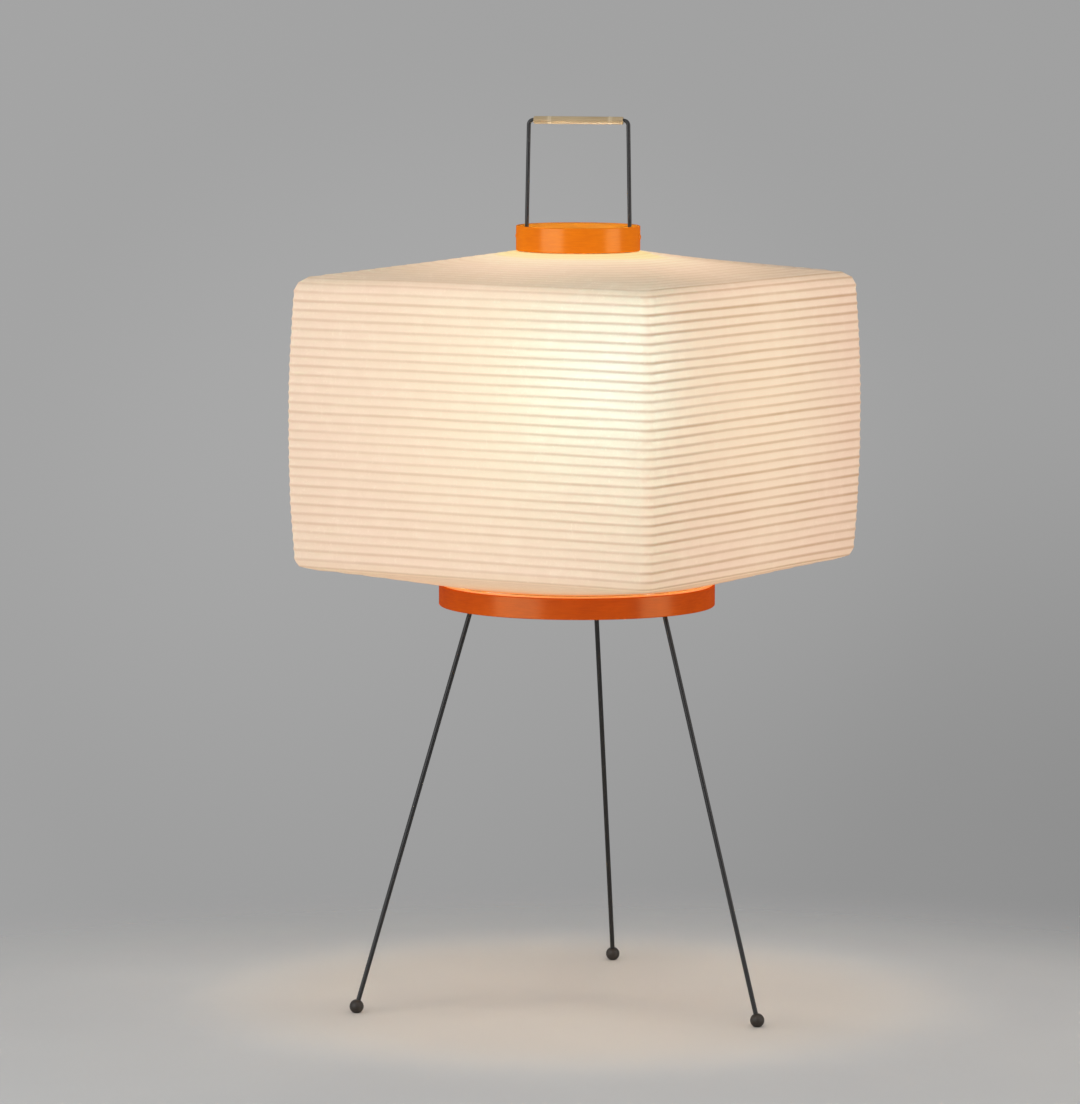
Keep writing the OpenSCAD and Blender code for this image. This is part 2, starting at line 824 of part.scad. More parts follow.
// Level ribs inside the paper, round at the hoops and square on the walls
module shade_ribs() {
    color("#c9a878")
        rotate([0, 0, shade_turn])
            for (k = [1 : rib_count - 1]) {
                s = k * rib_step;
                n = outward(s);
                inset = skin + seat_gap + rib_t / 2 * (abs(n[0]) + abs(n[1]));
                centre = outline(s) - inset * n;
                r = corner_r - (outline(s)[0] - centre[0]);
                translate([0, 0, centre[1] - rib_t / 2])
                    linear_extrude(rib_t)
                        difference() {
                            polygon(section(centre[0] + rib_t / 2, r, squareness(s)));
                            polygon(section(centre[0] - rib_t / 2, r, squareness(s)));
                        }
            }
}

module foot_ring() {
    color("#8a8d90")
        translate([0, 0, ring_z])
            rotate_extrude()
                translate([ring_r, 0])
                    circle(r = ring_d / 2);
}

module top_hoop() {
    color("#e8730d")
        difference() {
            translate([0, 0, top_z])
                hoop(top_d / 2, hoop_wall, top_h);
            translate([-top_d, 0, rivet_z])
                rotate([0, 90, 0])
                    cylinder(r = rivet_d / 2 + hole_gap, h = 2 * top_d);
        }
}

// Two small brackets inside the top hoop, each notched round an upright of the frame
module hoop_ears() {
    wall_face = top_in_r - hole_gap;
    color("#3a3c3f")
        for (side = [0, 1])
            mirror([side, 0, 0])
                difference() {
                    union() {
                        intersection() {
                            translate([ear_x - ear_reach, -ear_w / 2, ear_z])
                                cube([top_d, ear_w, ear_t]);
                            cylinder(r = wall_face, h = top_rim);
                        }
                        intersection() {
                            translate([0, -ear_w / 2, ear_z])
                                cube([top_d, ear_w, ear_tab_h]);
                            difference() {
                                cylinder(r = wall_face, h = top_rim);
                                cylinder(r = wall_face - ear_t, h = top_rim + past);
                            }
                        }
                    }
                    translate([ear_x, 0, ear_z - past])
                        cylinder(r = notch_r, h = ear_t + 2 * past);
                    translate([ear_x - 2 * ear_reach, -notch_r, ear_z - past])
                        cube([2 * ear_reach, 2 * notch_r, ear_t + 2 * past]);
                    translate([0, 0, rivet_z])
                        rotate([0, 90, 0])
                            cylinder(r = rivet_d / 2 + hole_gap, h = top_d);
                }
}

module ear_rivets() {
    tail_at = top_in_r - ear_t - hole_gap;
    head_at = top_d / 2;
    shank_r = rivet_d / 2;
    color("#d8650f")
        for (side = [0, 1])
            mirror([side, 0, 0])
                translate([0, 0, rivet_z])
                    rotate([0, 90, 0])
                        rotate_extrude()
                            polygon([
                                [0, tail_at - rivet_tail_h],
                                [rivet_tail_r - 0.8, tail_at - rivet_tail_h],
                                [rivet_tail_r, tail_at - hole_gap],
                                [shank_r, tail_at - hole_gap],
                                [shank_r, head_at + hole_gap],
                                [rivet_head_r, head_at + hole_gap],
                                [rivet_head_r - 0.5, head_at + rivet_head_h - 0.5],
                                [rivet_head_r - 1.5, head_at + rivet_head_h - 0.1],
                                [0, head_at + rivet_head_h]
                            ]);
}

leg(left_leg);  // leg_left
leg(right_leg);  // leg_right
leg(back_leg);  // leg_back
foot(left_leg);  // foot_left
foot(right_leg);  // foot_right
foot(back_leg);  // foot_back
base_hoop();
spider();
leg_sockets();
lamp_bridge();
stem_tube();
stem_nuts();
holder_cap();
holder_shell();
holder_core();
screw_shell();
centre_contact();
terminal_screws();
carry_frame();
frame_nuts();
stop_collars();
grip();
bulb_glass();
bulb_cap();
bulb_insulator();
bulb_contact();
belly(3);  // belly_front
belly(0);  // belly_right
belly(1);  // belly_back
belly(2);  // belly_left
wall(3);  // wall_front
wall(0);  // wall_right
wall(1);  // wall_back
wall(2);  // wall_left
crown(3);  // crown_front
crown(0);  // crown_right
crown(1);  // crown_back
crown(2);  // crown_left
neck_band();
shade_ribs();
foot_ring();
top_hoop();
hoop_ears();
ear_rivets();
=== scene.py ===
"""Paper lantern table lamp: materials, paper, light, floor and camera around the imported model.

Metres, +Z up, in the model's own frame. The handle lies along X and the back leg points to +Y.
"""
import math

import bpy
import numpy as np
from mathutils import Matrix, Vector, noise

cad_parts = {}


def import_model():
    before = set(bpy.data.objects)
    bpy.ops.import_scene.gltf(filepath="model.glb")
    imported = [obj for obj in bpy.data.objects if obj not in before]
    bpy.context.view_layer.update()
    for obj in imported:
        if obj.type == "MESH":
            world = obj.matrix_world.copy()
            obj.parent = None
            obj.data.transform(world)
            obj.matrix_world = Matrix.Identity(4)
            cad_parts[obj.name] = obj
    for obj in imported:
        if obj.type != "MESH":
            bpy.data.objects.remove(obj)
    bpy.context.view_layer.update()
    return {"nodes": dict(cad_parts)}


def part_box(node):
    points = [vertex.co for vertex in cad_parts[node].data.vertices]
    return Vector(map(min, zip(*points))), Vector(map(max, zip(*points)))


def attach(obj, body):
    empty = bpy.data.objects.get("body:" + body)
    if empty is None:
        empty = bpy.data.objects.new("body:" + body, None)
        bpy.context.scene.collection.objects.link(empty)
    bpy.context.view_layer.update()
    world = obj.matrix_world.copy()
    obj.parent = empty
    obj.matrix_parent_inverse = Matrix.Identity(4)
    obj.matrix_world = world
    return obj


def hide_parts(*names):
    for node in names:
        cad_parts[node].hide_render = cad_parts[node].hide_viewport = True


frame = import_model()
nodes = frame["nodes"]

# Camera, for an image of 1080 x 1104: metres and degrees, with lens and sensor in millimetres
CAMERA_DISTANCE = 5.0
CAMERA_AZIMUTH = 9.64
CAMERA_HEIGHT = 0.9147
CAMERA_PITCH = 6.054
CAMERA_YAW = -0.36
CAMERA_ROLL = 0.164
FOCAL_LENGTH = 193.17
SENSOR = 36.0
FARTHEST_SEEN = 50

# Shade outline, from the foot up: slope, rounding, wall, rounding, slope
SHADE_HALF = 0.179
WALL_BARREL = 0.0035
WALL_HEIGHT = 0.224
CORNER_R = 0.010
BELLY_R = 0.010
CROWN_R = 0.014
BELLY_SLOPE = math.radians(16)
CROWN_SLOPE = math.radians(9.7)
FOOT_HALF = 0.1134
CROWN_HALF = 0.0519
SHADE_TURN = math.radians(-22)
RIB_PITCH = 0.0078
FOOT_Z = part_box("belly_front")[0].z

# Paper and ribs
PLEAT_DEPTH = 0.0007
PAPER_THICKNESS = 0.00035
RIB_WIDTH = 0.0014
RIB_DEPTH = 0.0011
RIB_SIDES = 6
ROWS_PER_PITCH = 6
CORNER_COLUMNS = 9
FLAT_COLUMNS = 12
# Half the angle that a wall's flat takes up where the section is round
ROUND_FLAT = math.radians(45 / 7)

# How far hand-laid ribs stray: the most, the noise's steps per metre, and the still zones at the hoops
RIB_WAVE = 0.0005
WAVE_ACROSS, WAVE_UP = 14, 70
BULGE_ACROSS, BULGE_UP = 25, 90
BULGE_SHIFT = 40
# Share of the most that goes in and out, at this distance from the centre line
BULGE_SHARE, BULGE_ARM = 0.5, 0.2
STILL_AT_FOOT = 0.02
STILL_AT_TOP = 0.006

# Bulb, with the share of its light that is left at its neck and at its crown
BULB_R = 0.030
BULB_NECK_R = 0.0142
BULB_CENTRE = Vector((0, 0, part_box("bulb_glass")[1].z - BULB_R))
BULB_RADIANCE = 88.0
BULB_COLOUR = (1.0, 0.90, 0.74, 1)
BULB_NECK = 0.35
BULB_CROWN = 0.12
# Neck, waist, shoulder and crown, between which it dims, in radii above the centre
BULB_ZONES = (-1.45, -0.5, 0.55, 0.9)

# Painted glow of the paper, standing in for the bulb's light through it: colours from the least light to the
# most, in linear values
PAPER_GLOW = [
    (0.00, (0.080, 0.035, 0.010)),
    (0.50, (0.400, 0.230, 0.115)),
    (0.75, (0.580, 0.355, 0.220)),
    (0.94, (0.672, 0.486, 0.302)),
    (1.00, (0.690, 0.520, 0.190)),
]
LEAST_GLOW = 0.40
# Tint of the painted glow on the top slope, and the share of it on the lower slope
SLOPE_GLOW_TINT = (1.0, 1.0, 0.86, 1)
BELLY_GLOW_TINT_SHARE = 0.4
# Colour of thick fibres in the glow
FIBRE_COLOUR = (0.80, 0.66, 0.50, 1)

# Painted glow of each band where it gets as much of the bulb's light as the middle of a wall,
# and how far it follows that light
WALL_GLOW, WALL_SHARE = 0.92, 0.49
CROWN_GLOW, CROWN_SHARE = 0.70, 0.90
BELLY_GLOW, BELLY_SHARE = 0.90, 0.50
LIGHT_CENTRE = BULB_CENTRE + Vector((0.004, 0, 0.012))

# Painted extra glow under the top hoop, painted shade at the far corner, and the base hoop's orange light
# painted on the shade's foot and on the foot ring
RIM_GLOW = 0.32
RIM_REACH = 0.005
FAR_CORNER_DIM = 0.20
FOOT_HOOP_LIGHT = (0.70, 0.20, 0.02, 1)
FOOT_SKIN_HOOP_LIGHT = (0.95, 0.50, 0.30, 1)
HOOP_LIGHT_REACH = 0.013
FOOT_RING_PAINTED_GLOW = 0.8

# Painted rib shadows: colour, where a line is full and where it ends (in rib steps), and strength by band and
# wall
RIB_SHADE = (0.64, 0.54, 0.43, 1)
LINE_FULL, LINE_END = 0.03, 0.26
BELLY_LINES, WALL_LINES, CROWN_LINES = 0.55, 1.0, 0.30
# Painted rib shadows are darker on the right-hand wall
LINES_EVERYWHERE = 0.41
LINES_ADDED_RIGHT = 0.41

# The bulb seen through the paper, as a wide halo with a smaller core in it
HALO_PIVOT = BULB_CENTRE - Vector((0.014, 0, 0.030))
HALO_WEIGHT = 0.054
HALO_COLOUR = (0.28, 0.86, 0.72, 1)
HALO_IOR = 2.0
HALO_ROUGHNESS = 0.85
CORE_SHARE = 0.11
CORE_COLOUR = (0.20, 0.60, 1.0, 1)
CORE_ROUGHNESS = 0.48
# The halo is whole up to this share of the wall's light, and less where there is more
HALO_REFERENCE = 0.354
LEAST_LIGHT = 0.01
# Height of the halo's middle strength, its change per metre up, its limits, and its share on the top slope
HALO_HEIGHT = 0.540
HALO_RISE = 3.5
HALO_LEAST, HALO_MOST = 0.8, 1.2
CROWN_HALO = 0.35
# Where the paper faces right by at least this much, the halo fades past the crease,
# over a share of the half wall and by a share of itself
RIGHT_WALL_FROM = 0.75
CREASE_FADE = 0.8
PAST_CREASE_LOSS = 0.75

# Lacquer
LACQUER_GLOSS = 0.075
LACQUER_SHINE = (1.0, 0.68, 0.30, 1)
# Painted shade on the hoops' inside faces
LACQUER_INSIDE_SHADE = (0.50, 0.207, 0.022, 1)
HOOP_WALL = 0.0022

# Bulb cap and stem tube
CAP_WALL = 0.0022
CAP_PITCH, CAP_THREAD_DEPTH = 0.0036, 0.0009
CAP_THREAD_START, CAP_THREAD_STOP = 0.0028, 0.0006
STEM_BORE_R = 0.004
STEM_PITCH, STEM_THREAD_DEPTH = 0.001, 0.00035

# Bamboo grip: bore, skin, rounded ends, growth rings with a groove beside each, and unevenness
GRIP_BORE_R = 0.00178
GRIP_SKIN = 0.00022
GRIP_END, GRIP_END_DEPTH = 0.0007, 0.0005
RINGS_AT = (-0.66, 0.70)
RING_WIDTH, RING_HEIGHT = 0.0009, 0.0002
GROOVE_PAST_RING, GROOVE_WIDTH, GROOVE_DEPTH = 0.0016, 0.0005, 0.00015
GRIP_UNEVEN = 0.00008
GRIP_UNEVEN_ALONG, GRIP_UNEVEN_AROUND = 60, 2
BORE_RING = 0.4

# Studio floor, with a painted pool of the lamp's light, brighter and warmer round the lamp, and the place
# where it starts to fade
FLOOR_R = 1.6
FLOOR = (0.475, 0.48, 0.48), (0.505, 0.51, 0.505)
FLOOR_LAMP_LIGHT = (1.12, 1.12, 1.12, 1)
FLOOR_LAMP_LIGHT_REACH = 0.75
LAMP_POOL_WARMTH = (1.03, 0.96, 0.89, 1)
LAMP_POOL_INNER, LAMP_POOL_OUTER = 0.20, 0.36
FADE_CENTRE = (0.06, -0.36, 0)
FADE_START, FADE_END = 0.60, 1.02

# World light, backdrop and studio lights
WORLD_LIGHT = 0.62
SKY = [(0.0, (0.42, 0.42, 0.42)), (0.75, (1.0, 1.0, 1.0))]
BACKDROP = (0.363, 0.363, 0.363, 1)
BACKDROP_LOW = (0.312, 0.312, 0.312, 1)
BACKDROP_LOW_START = math.radians(-4.0)
BACKDROP_LOW_END = math.radians(-9.0)
BACKDROP_SLANT = 0.27
BACKDROP_LOW_SLANT = 1.35
BACKDROP_EDGE = 0.12
BACKDROP_GLOW = 0.085
BACKDROP_GLOW_TURN = math.radians(CAMERA_AZIMUTH + 0.9)
BACKDROP_GLOW_DROP = math.radians(6.0)
BACKDROP_GLOW_REACH = math.radians(5.0)
LIGHTS_AIM = Vector((0, 0, 0.45))
WARM_LIGHT = (1.0, 0.90, 0.84)

# Tones of the materials in linear values: pairs that a cloud or grain runs between, and single ones laid over
RUBBER = (0.018, 0.013, 0.010), (0.036, 0.027, 0.020)
PHENOLIC = (0.010, 0.009, 0.009), (0.022, 0.020, 0.019)
PORCELAIN = (0.62, 0.59, 0.52), (0.72, 0.70, 0.64)
PORCELAIN_SPECK = (0.20, 0.16, 0.12, 1)
GRIP_BAMBOO = (0.31, 0.215, 0.105), (0.44, 0.33, 0.185)
GRIP_PALE = (0.52, 0.41, 0.25, 1)
GRIP_FLECK = (0.19, 0.11, 0.04, 1)
GRIP_RING = (0.62, 0.52, 0.34, 1)
RIB_BAMBOO = (0.30, 0.19, 0.08), (0.48, 0.33, 0.16)
PAPER_SKIN = (0.385, 0.37, 0.345), (0.425, 0.41, 0.385)
PAPER_INSIDE = (0.62, 0.54, 0.43), (0.54, 0.46, 0.36)
NECK_PAPER = (0.66, 0.54, 0.38), (0.54, 0.42, 0.28)
FOOT_PAPER = (0.60, 0.46, 0.32), (0.50, 0.36, 0.24)
# The base hoop's lacquer is a darker copy of the top hoop's: painted shade under the paper shade
BASE_LACQUER_SHADED = (0.62, 0.074, 0.0), (0.76, 0.105, 0.0)
TOP_LACQUER = (0.76, 0.165, 0.0), (0.88, 0.215, 0.0)
OPAL_GLASS = (0.80, 0.76, 0.68, 1)
# Metals, bright and tarnished
BRASS = (0.70, 0.52, 0.22), (0.45, 0.30, 0.11)
STEM_BRASS = (0.62, 0.50, 0.25), (0.40, 0.29, 0.12)
ZINC = (0.60, 0.60, 0.58), (0.40, 0.40, 0.40)
NICKEL = (0.62, 0.60, 0.56), (0.42, 0.40, 0.36)
TIP_METAL = (0.55, 0.54, 0.52), (0.36, 0.35, 0.33)
# Black paints
WIRE_BLACK = (0.016, 0.017, 0.019)
LEG_BLACK = (0.007, 0.007, 0.008)
SHEET_BLACK = (0.020, 0.020, 0.021)
INSULATOR_BLACK = (0.012, 0.012, 0.013)


class Shading:
    """Short ways to add and link the nodes of one shader."""

    def __init__(self, tree):
        self.tree = tree
        self.tree.nodes.clear()

    def add(self, kind, settings=None, **inputs):
        node = self.tree.nodes.new(kind)
        for key, value in (settings or {}).items():
            setattr(node, key, value)
        for key, value in inputs.items():
            self.feed(node.inputs[key.replace("_", " ")], value)
        return node

    def feed(self, socket, value):
        if isinstance(value, bpy.types.NodeSocket):
            self.tree.links.new(value, socket)
        else:
            socket.default_value = value

    def math(self, operation, *values):
        node = self.add("ShaderNodeMath", {"operation": operation})
        for socket, value in zip(node.inputs, values):
            self.feed(socket, value)
        return node.outputs["Value"]

    def vector(self, operation, *values):
        node = self.add("ShaderNodeVectorMath", {"operation": operation})
        for socket, value in zip(node.inputs, values):
            self.feed(socket, value)
        gives_number = operation in ("LENGTH", "DISTANCE", "DOT_PRODUCT")
        return node.outputs["Value" if gives_number else "Vector"]

    def between(self, value, low, high, to_low=0.0, to_high=1.0):
        node = self.add("ShaderNodeMapRange", {"interpolation_type": "SMOOTHSTEP"}, Value=value)
        node.inputs["From Min"].default_value = low
        node.inputs["From Max"].default_value = high
        node.inputs["To Min"].default_value = to_low
        node.inputs["To Max"].default_value = to_high
        return node.outputs["Result"]

    def ramp(self, value, stops):
        node = self.add("ShaderNodeValToRGB", Fac=value)
        elements = node.color_ramp.elements
        while len(elements) < len(stops):
            elements.new(0.5)
        for element, (place, colour) in zip(elements, stops):
            element.position = place
            element.color = (*colour, 1)
        return node.outputs["Color"]

    def two_tone(self, value, tones, low=0.3, high=0.7):
        return self.ramp(value, [(low, tones[0]), (high, tones[1])])

    def blend(self, factor, first, second, mode="MIX"):
        """Mix of two colours, which are sockets 6 and 7 of the mix node and its output 2."""
        node = self.add("ShaderNodeMix", {"data_type": "RGBA", "blend_type": mode})
        self.feed(node.inputs[0], factor)
        self.feed(node.inputs[6], first)
        self.feed(node.inputs[7], second)
        return node.outputs[2]

    def mixed(self, factor, first, second):
        """Mix of two shaders."""
        node = self.add("ShaderNodeMixShader")
        for socket, value in zip(node.inputs, (factor, first, second)):
            self.feed(socket, value)
        return node.outputs["Shader"]


class Finish(Shading):
    """One material, built node by node in the object's own coordinates."""

    def __init__(self, name):
        self.material = bpy.data.materials.new(name)
        self.material.use_nodes = True
        super().__init__(self.material.node_tree)
        self.place = self.add("ShaderNodeTexCoord").outputs["Object"]

    def stretched(self, stretch):
        mapping = self.add("ShaderNodeMapping", Vector=self.place)
        mapping.inputs["Scale"].default_value = stretch
        return mapping.outputs["Vector"]

    def noise(self, scale, detail=3.0, stretch=None, distortion=0.0):
        where = self.stretched(stretch) if stretch else self.place
        node = self.add(
            "ShaderNodeTexNoise", Vector=where, Scale=scale, Detail=detail, Distortion=distortion,
        )
        return node.outputs["Fac"]

    def scratches(self, scale):
        settings = {"feature": "DISTANCE_TO_EDGE"}
        node = self.add("ShaderNodeTexVoronoi", settings, Vector=self.place, Scale=scale)
        return self.between(node.outputs["Distance"], 0.0, 0.04)

    def attribute(self, name):
        return self.add("ShaderNodeAttribute", {"attribute_name": name}).outputs["Fac"]

    def bump(self, height, distance, strength=1.0):
        node = self.add("ShaderNodeBump", Height=height, Distance=distance, Strength=strength)
        return node.outputs["Normal"]

    def principled(self, **inputs):
        return self.add("ShaderNodeBsdfPrincipled", **inputs).outputs["BSDF"]

    def clear(self):
        return self.add("ShaderNodeBsdfTransparent").outputs["BSDF"]

    def from_behind(self):
        return self.add("ShaderNodeNewGeometry").outputs["Backfacing"]

    def surface(self, **inputs):
        return self.output(self.principled(**inputs))

    def output(self, shader):
        self.add("ShaderNodeOutputMaterial", Surface=shader)
        return self.material


def painted_metal(name, colour, roughness, worn=0.5):
    """Satin paint on steel: a fine orange peel, and a little rubbed lighter."""
    f = Finish(name)
    cloud = f.noise(35.0, detail=4.0)
    grain = f.noise(2600.0, detail=2.0)
    rubbed = f.between(f.noise(160.0, detail=5.0), 0.60, 0.78, 0.0, worn)
    lighter = tuple(min(1.0, 3.2 * c + 0.012) for c in colour)
    darker = tuple(0.75 * c for c in colour)
    return f.surface(
        Base_Color=f.blend(rubbed, f.two_tone(cloud, (darker, colour)), (*lighter, 1)),
        Roughness=f.between(cloud, 0.3, 0.7, roughness - 0.06, roughness + 0.06),
        Normal=f.bump(grain, 0.00006, 0.5),
        Coat_Weight=0.1,
        Coat_Roughness=0.3,
    )


def rubber():
    """Dark moulded ball feet, dusty and faintly pitted."""
    f = Finish("foot_rubber")
    cloud = f.noise(220.0, detail=4.0)
    pits = f.noise(1700.0, detail=3.0)
    return f.surface(
        Base_Color=f.two_tone(cloud, RUBBER, 0.35),
        Roughness=f.between(cloud, 0.3, 0.7, 0.42, 0.62),
        Normal=f.bump(pits, 0.0001, 0.6),
    )


def lacquer(name, tones, inside_r):
    """Orange lacquer in several brushed coats over a bent hoop, with painted shade on the hoop's inside."""
    f = Finish(name)
    cloud = f.noise(26.0, detail=3.0)
    brushed = f.noise(90.0, detail=4.0, stretch=(1.0, 1.0, 9.0))
    peel = f.noise(900.0, detail=2.0)
    uneven = f.math("ADD", f.math("MULTIPLY", cloud, 0.6), f.math("MULTIPLY", brushed, 0.4))
    from_centre = f.vector("LENGTH", f.vector("MULTIPLY", f.place, (1, 1, 0)))
    # Painted shade on the hoop's inside face
    inside = f.between(from_centre, inside_r, inside_r + 0.001, 1.0, 0.0)
    base = f.blend(inside, f.two_tone(uneven, tones, 0.35, 0.65), LACQUER_INSIDE_SHADE)
    ridges = f.bump(f.math("ADD", f.math("MULTIPLY", brushed, 0.5), peel), 0.00001, 0.3)
    under = f.principled(Base_Color=base, Roughness=0.5, Specular_IOR_Level=0.0, Normal=ridges)
    shine = f.principled(
        Base_Color=LACQUER_SHINE,
        Metallic=1.0,
        Roughness=f.between(brushed, 0.3, 0.7, 0.20, 0.27),
        Normal=ridges,
    )
    return f.output(f.mixed(LACQUER_GLOSS, under, shine))


def metal(name, tones, roughness):
    """Bare or plated metal with handling marks and tarnish."""
    f = Finish(name)
    bright, dull = tones
    cloud = f.noise(120.0, detail=4.0)
    brushed = f.noise(400.0, detail=3.0, stretch=(1.0, 1.0, 7.0))
    marks = f.scratches(300.0)
    return f.surface(
        Base_Color=f.blend(f.between(cloud, 0.45, 0.75), (*bright, 1), (*dull, 1)),
        Metallic=1.0,
        Roughness=f.between(f.math("ADD", cloud, brushed), 0.7, 1.3, roughness - 0.08, roughness + 0.14),
        Normal=f.bump(f.math("MULTIPLY", marks, brushed), 0.00003, 0.5),
    )


def phenolic():
    """Black moulded lamp holder, with the faint flow marks of the moulding."""
    f = Finish("phenolic")
    flow = f.noise(60.0, detail=4.0, stretch=(1.0, 1.0, 0.4), distortion=1.2)
    return f.surface(
        Base_Color=f.two_tone(flow, PHENOLIC, 0.35),
        Roughness=f.between(flow, 0.3, 0.7, 0.24, 0.36),
        Normal=f.bump(f.noise(1500.0, detail=2.0), 0.00004, 0.5),
        Coat_Weight=0.3,
        Coat_Roughness=0.15,
    )


def porcelain():
    """Glazed core of the lamp holder, with a few specks in the glaze."""
    f = Finish("porcelain")
    speck = f.between(f.noise(2200.0, detail=1.0), 0.70, 0.76, 0.0, 0.5)
    cloud = f.noise(90.0, detail=3.0)
    return f.surface(
        Base_Color=f.blend(speck, f.two_tone(cloud, PORCELAIN), PORCELAIN_SPECK),
        Roughness=f.between(cloud, 0.3, 0.7, 0.18, 0.30),
        Normal=f.bump(cloud, 0.0002, 0.3),
        Coat_Weight=0.4,
        Coat_Roughness=0.08,
    )


def bamboo_grip_finish():
    """Peeled bamboo: long fibres, a few dark flecks and paler growth rings."""
    f = Finish("grip_bamboo")
    fibres = f.noise(900.0, detail=4.0, stretch=(0.03, 1.0, 1.0))
    broad = f.noise(60.0, detail=3.0, stretch=(0.4, 1.0, 1.0))
    flecks = f.between(f.noise(500.0, detail=2.0, stretch=(0.08, 1.0, 1.0)), 0.66, 0.74, 0.0, 0.55)
    base = f.two_tone(fibres, GRIP_BAMBOO)
    base = f.blend(f.between(broad, 0.35, 0.65, 0.0, 0.45), base, GRIP_PALE)
    base = f.blend(flecks, base, GRIP_FLECK)
    base = f.blend(f.math("MULTIPLY", f.attribute("node_ring"), 0.7), base, GRIP_RING)
    return f.surface(
        Base_Color=base,
        Roughness=f.between(fibres, 0.3, 0.7, 0.36, 0.52),
        Normal=f.bump(fibres, 0.00012, 0.6),
        Coat_Weight=0.25,
        Coat_Roughness=0.25,
    )


def rib_bamboo_finish():
    """Thin split bamboo, browner than the grip."""
    f = Finish("rib_bamboo")
    fibres = f.noise(700.0, detail=3.0, stretch=(0.25, 0.25, 1.0))
    grain = f.bump(fibres, 0.0001, 0.5)
    return f.surface(Base_Color=f.two_tone(fibres, RIB_BAMBOO), Roughness=0.6, Normal=grain)


def paper_fibres(f):
    """Long thin fibres and the cloudy weight of hand-made paper: 0 is thin, 1 is thick."""
    cloud = f.noise(70.0, detail=5.0)
    long_fibres = f.noise(420.0, detail=4.0, stretch=(1.0, 1.0, 0.35), distortion=2.5)
    cross_fibres = f.noise(380.0, detail=4.0, stretch=(0.4, 0.4, 1.0), distortion=2.5)
    strands = f.math("MAXIMUM", f.between(long_fibres, 0.57, 0.70), f.between(cross_fibres, 0.60, 0.72))
    return f.math("ADD", f.math("MULTIPLY", cloud, 0.7), f.math("MULTIPLY", strands, 0.3))


def rib_lines(f):
    """Where a rib's painted shadow shows: a soft line at each rib, uneven from rib to rib and along it."""
    along = f.attribute("along")
    nearest = f.math("ROUND", along)
    off_rib = f.math("ABSOLUTE", f.math("SUBTRACT", along, nearest))
    line = f.between(off_rib, LINE_FULL, LINE_END, 1.0, 0.0)
    each = f.add("ShaderNodeTexWhiteNoise", {"noise_dimensions": "1D"}, W=nearest).outputs["Value"]
    rib_to_rib = f.between(each, 0.0, 1.0, 0.65, 1.0)
    along_rib = f.between(f.noise(14.0, detail=2.0), 0.3, 0.7, 0.8, 1.1)
    uneven = f.math("MULTIPLY", rib_to_rib, along_rib)
    return f.math("MULTIPLY", f.math("MULTIPLY", line, f.attribute("rib_shadow")), uneven)


def seen_bulb(f, shadow, outward, colour, roughness):
    """One lobe of the bulb's light that comes through the paper toward whoever looks at the bulb."""
    through = f.blend(f.attribute("halo"), (0, 0, 0, 1), colour)
    lobe = f.add(
        "ShaderNodeBsdfRefraction",
        Color=f.blend(shadow, through, RIB_SHADE, "MULTIPLY"),
        Roughness=roughness,
        IOR=HALO_IOR,
        Normal=outward,
    )
    return lobe.outputs["BSDF"]


def paper_outside_finish():
    """The lit paper: its painted glow follows the light on its inside, and each rib shows as a painted line
    of shadow.
    """
    f = Finish("lantern_paper")
    weight = paper_fibres(f)
    shadow = rib_lines(f)
    lit = f.ramp(f.attribute("glow"), PAPER_GLOW)
    lit = f.blend(f.attribute("slope"), lit, SLOPE_GLOW_TINT, "MULTIPLY")
    # The base hoop's orange light, painted on the glow at the paper's foot
    lit = f.blend(f.attribute("foot"), lit, FOOT_HOOP_LIGHT)
    lit = f.blend(shadow, lit, RIB_SHADE, "MULTIPLY")
    lit = f.blend(f.between(weight, 0.35, 0.75, 0.0, 0.09), lit, FIBRE_COLOUR)
    skin = f.two_tone(weight, PAPER_SKIN)
    # The base hoop's orange light, painted on the skin's colour at the paper's foot
    skin = f.blend(f.attribute("foot"), skin, FOOT_SKIN_HOOP_LIGHT, "MULTIPLY")
    skin = f.blend(shadow, skin, RIB_SHADE, "MULTIPLY")
    plain = f.principled(
        Base_Color=skin,
        Roughness=0.95,
        Specular_IOR_Level=0.2,
        Emission_Color=lit,
        Emission_Strength=1.0 / (1.0 - HALO_WEIGHT),
        Normal=f.bump(weight, 0.00025, 0.35),
    )
    outward = f.vector("NORMALIZE", f.vector("SUBTRACT", f.place, HALO_PIVOT))
    wide = seen_bulb(f, shadow, outward, HALO_COLOUR, HALO_ROUGHNESS)
    core = seen_bulb(f, shadow, outward, CORE_COLOUR, CORE_ROUGHNESS)
    material = f.output(f.mixed(HALO_WEIGHT, plain, f.mixed(CORE_SHARE, wide, core)))
    material.cycles.emission_sampling = "NONE"
    return material


def paper_inside_finish():
    """The paper's inner face: plain, and clear where it is looked at from within the paper's thickness."""
    f = Finish("paper_inside")
    weight = paper_fibres(f)
    base = f.two_tone(weight, PAPER_INSIDE)
    plain = f.principled(Base_Color=base, Roughness=0.9, Normal=f.bump(weight, 0.00025, 0.35))
    return f.output(f.mixed(f.from_behind(), plain, f.clear()))


def neck_paper():
    """Stiff paper band in the top hoop."""
    f = Finish("neck_paper")
    weight = paper_fibres(f)
    grain = f.bump(weight, 0.0003, 0.5)
    return f.surface(Base_Color=f.two_tone(weight, NECK_PAPER), Roughness=0.85, Normal=grain)


def foot_paper():
    """Paper turned over the wire ring at the shade's foot, with a painted orange glow for the light through
    it and from the orange hoop round it.
    """
    f = Finish("foot_paper")
    weight = paper_fibres(f)
    return f.surface(
        Base_Color=f.two_tone(weight, FOOT_PAPER),
        Roughness=0.85,
        Normal=f.bump(weight, 0.0003, 0.5),
        Emission_Color=FOOT_HOOP_LIGHT,
        Emission_Strength=FOOT_RING_PAINTED_GLOW,
    )


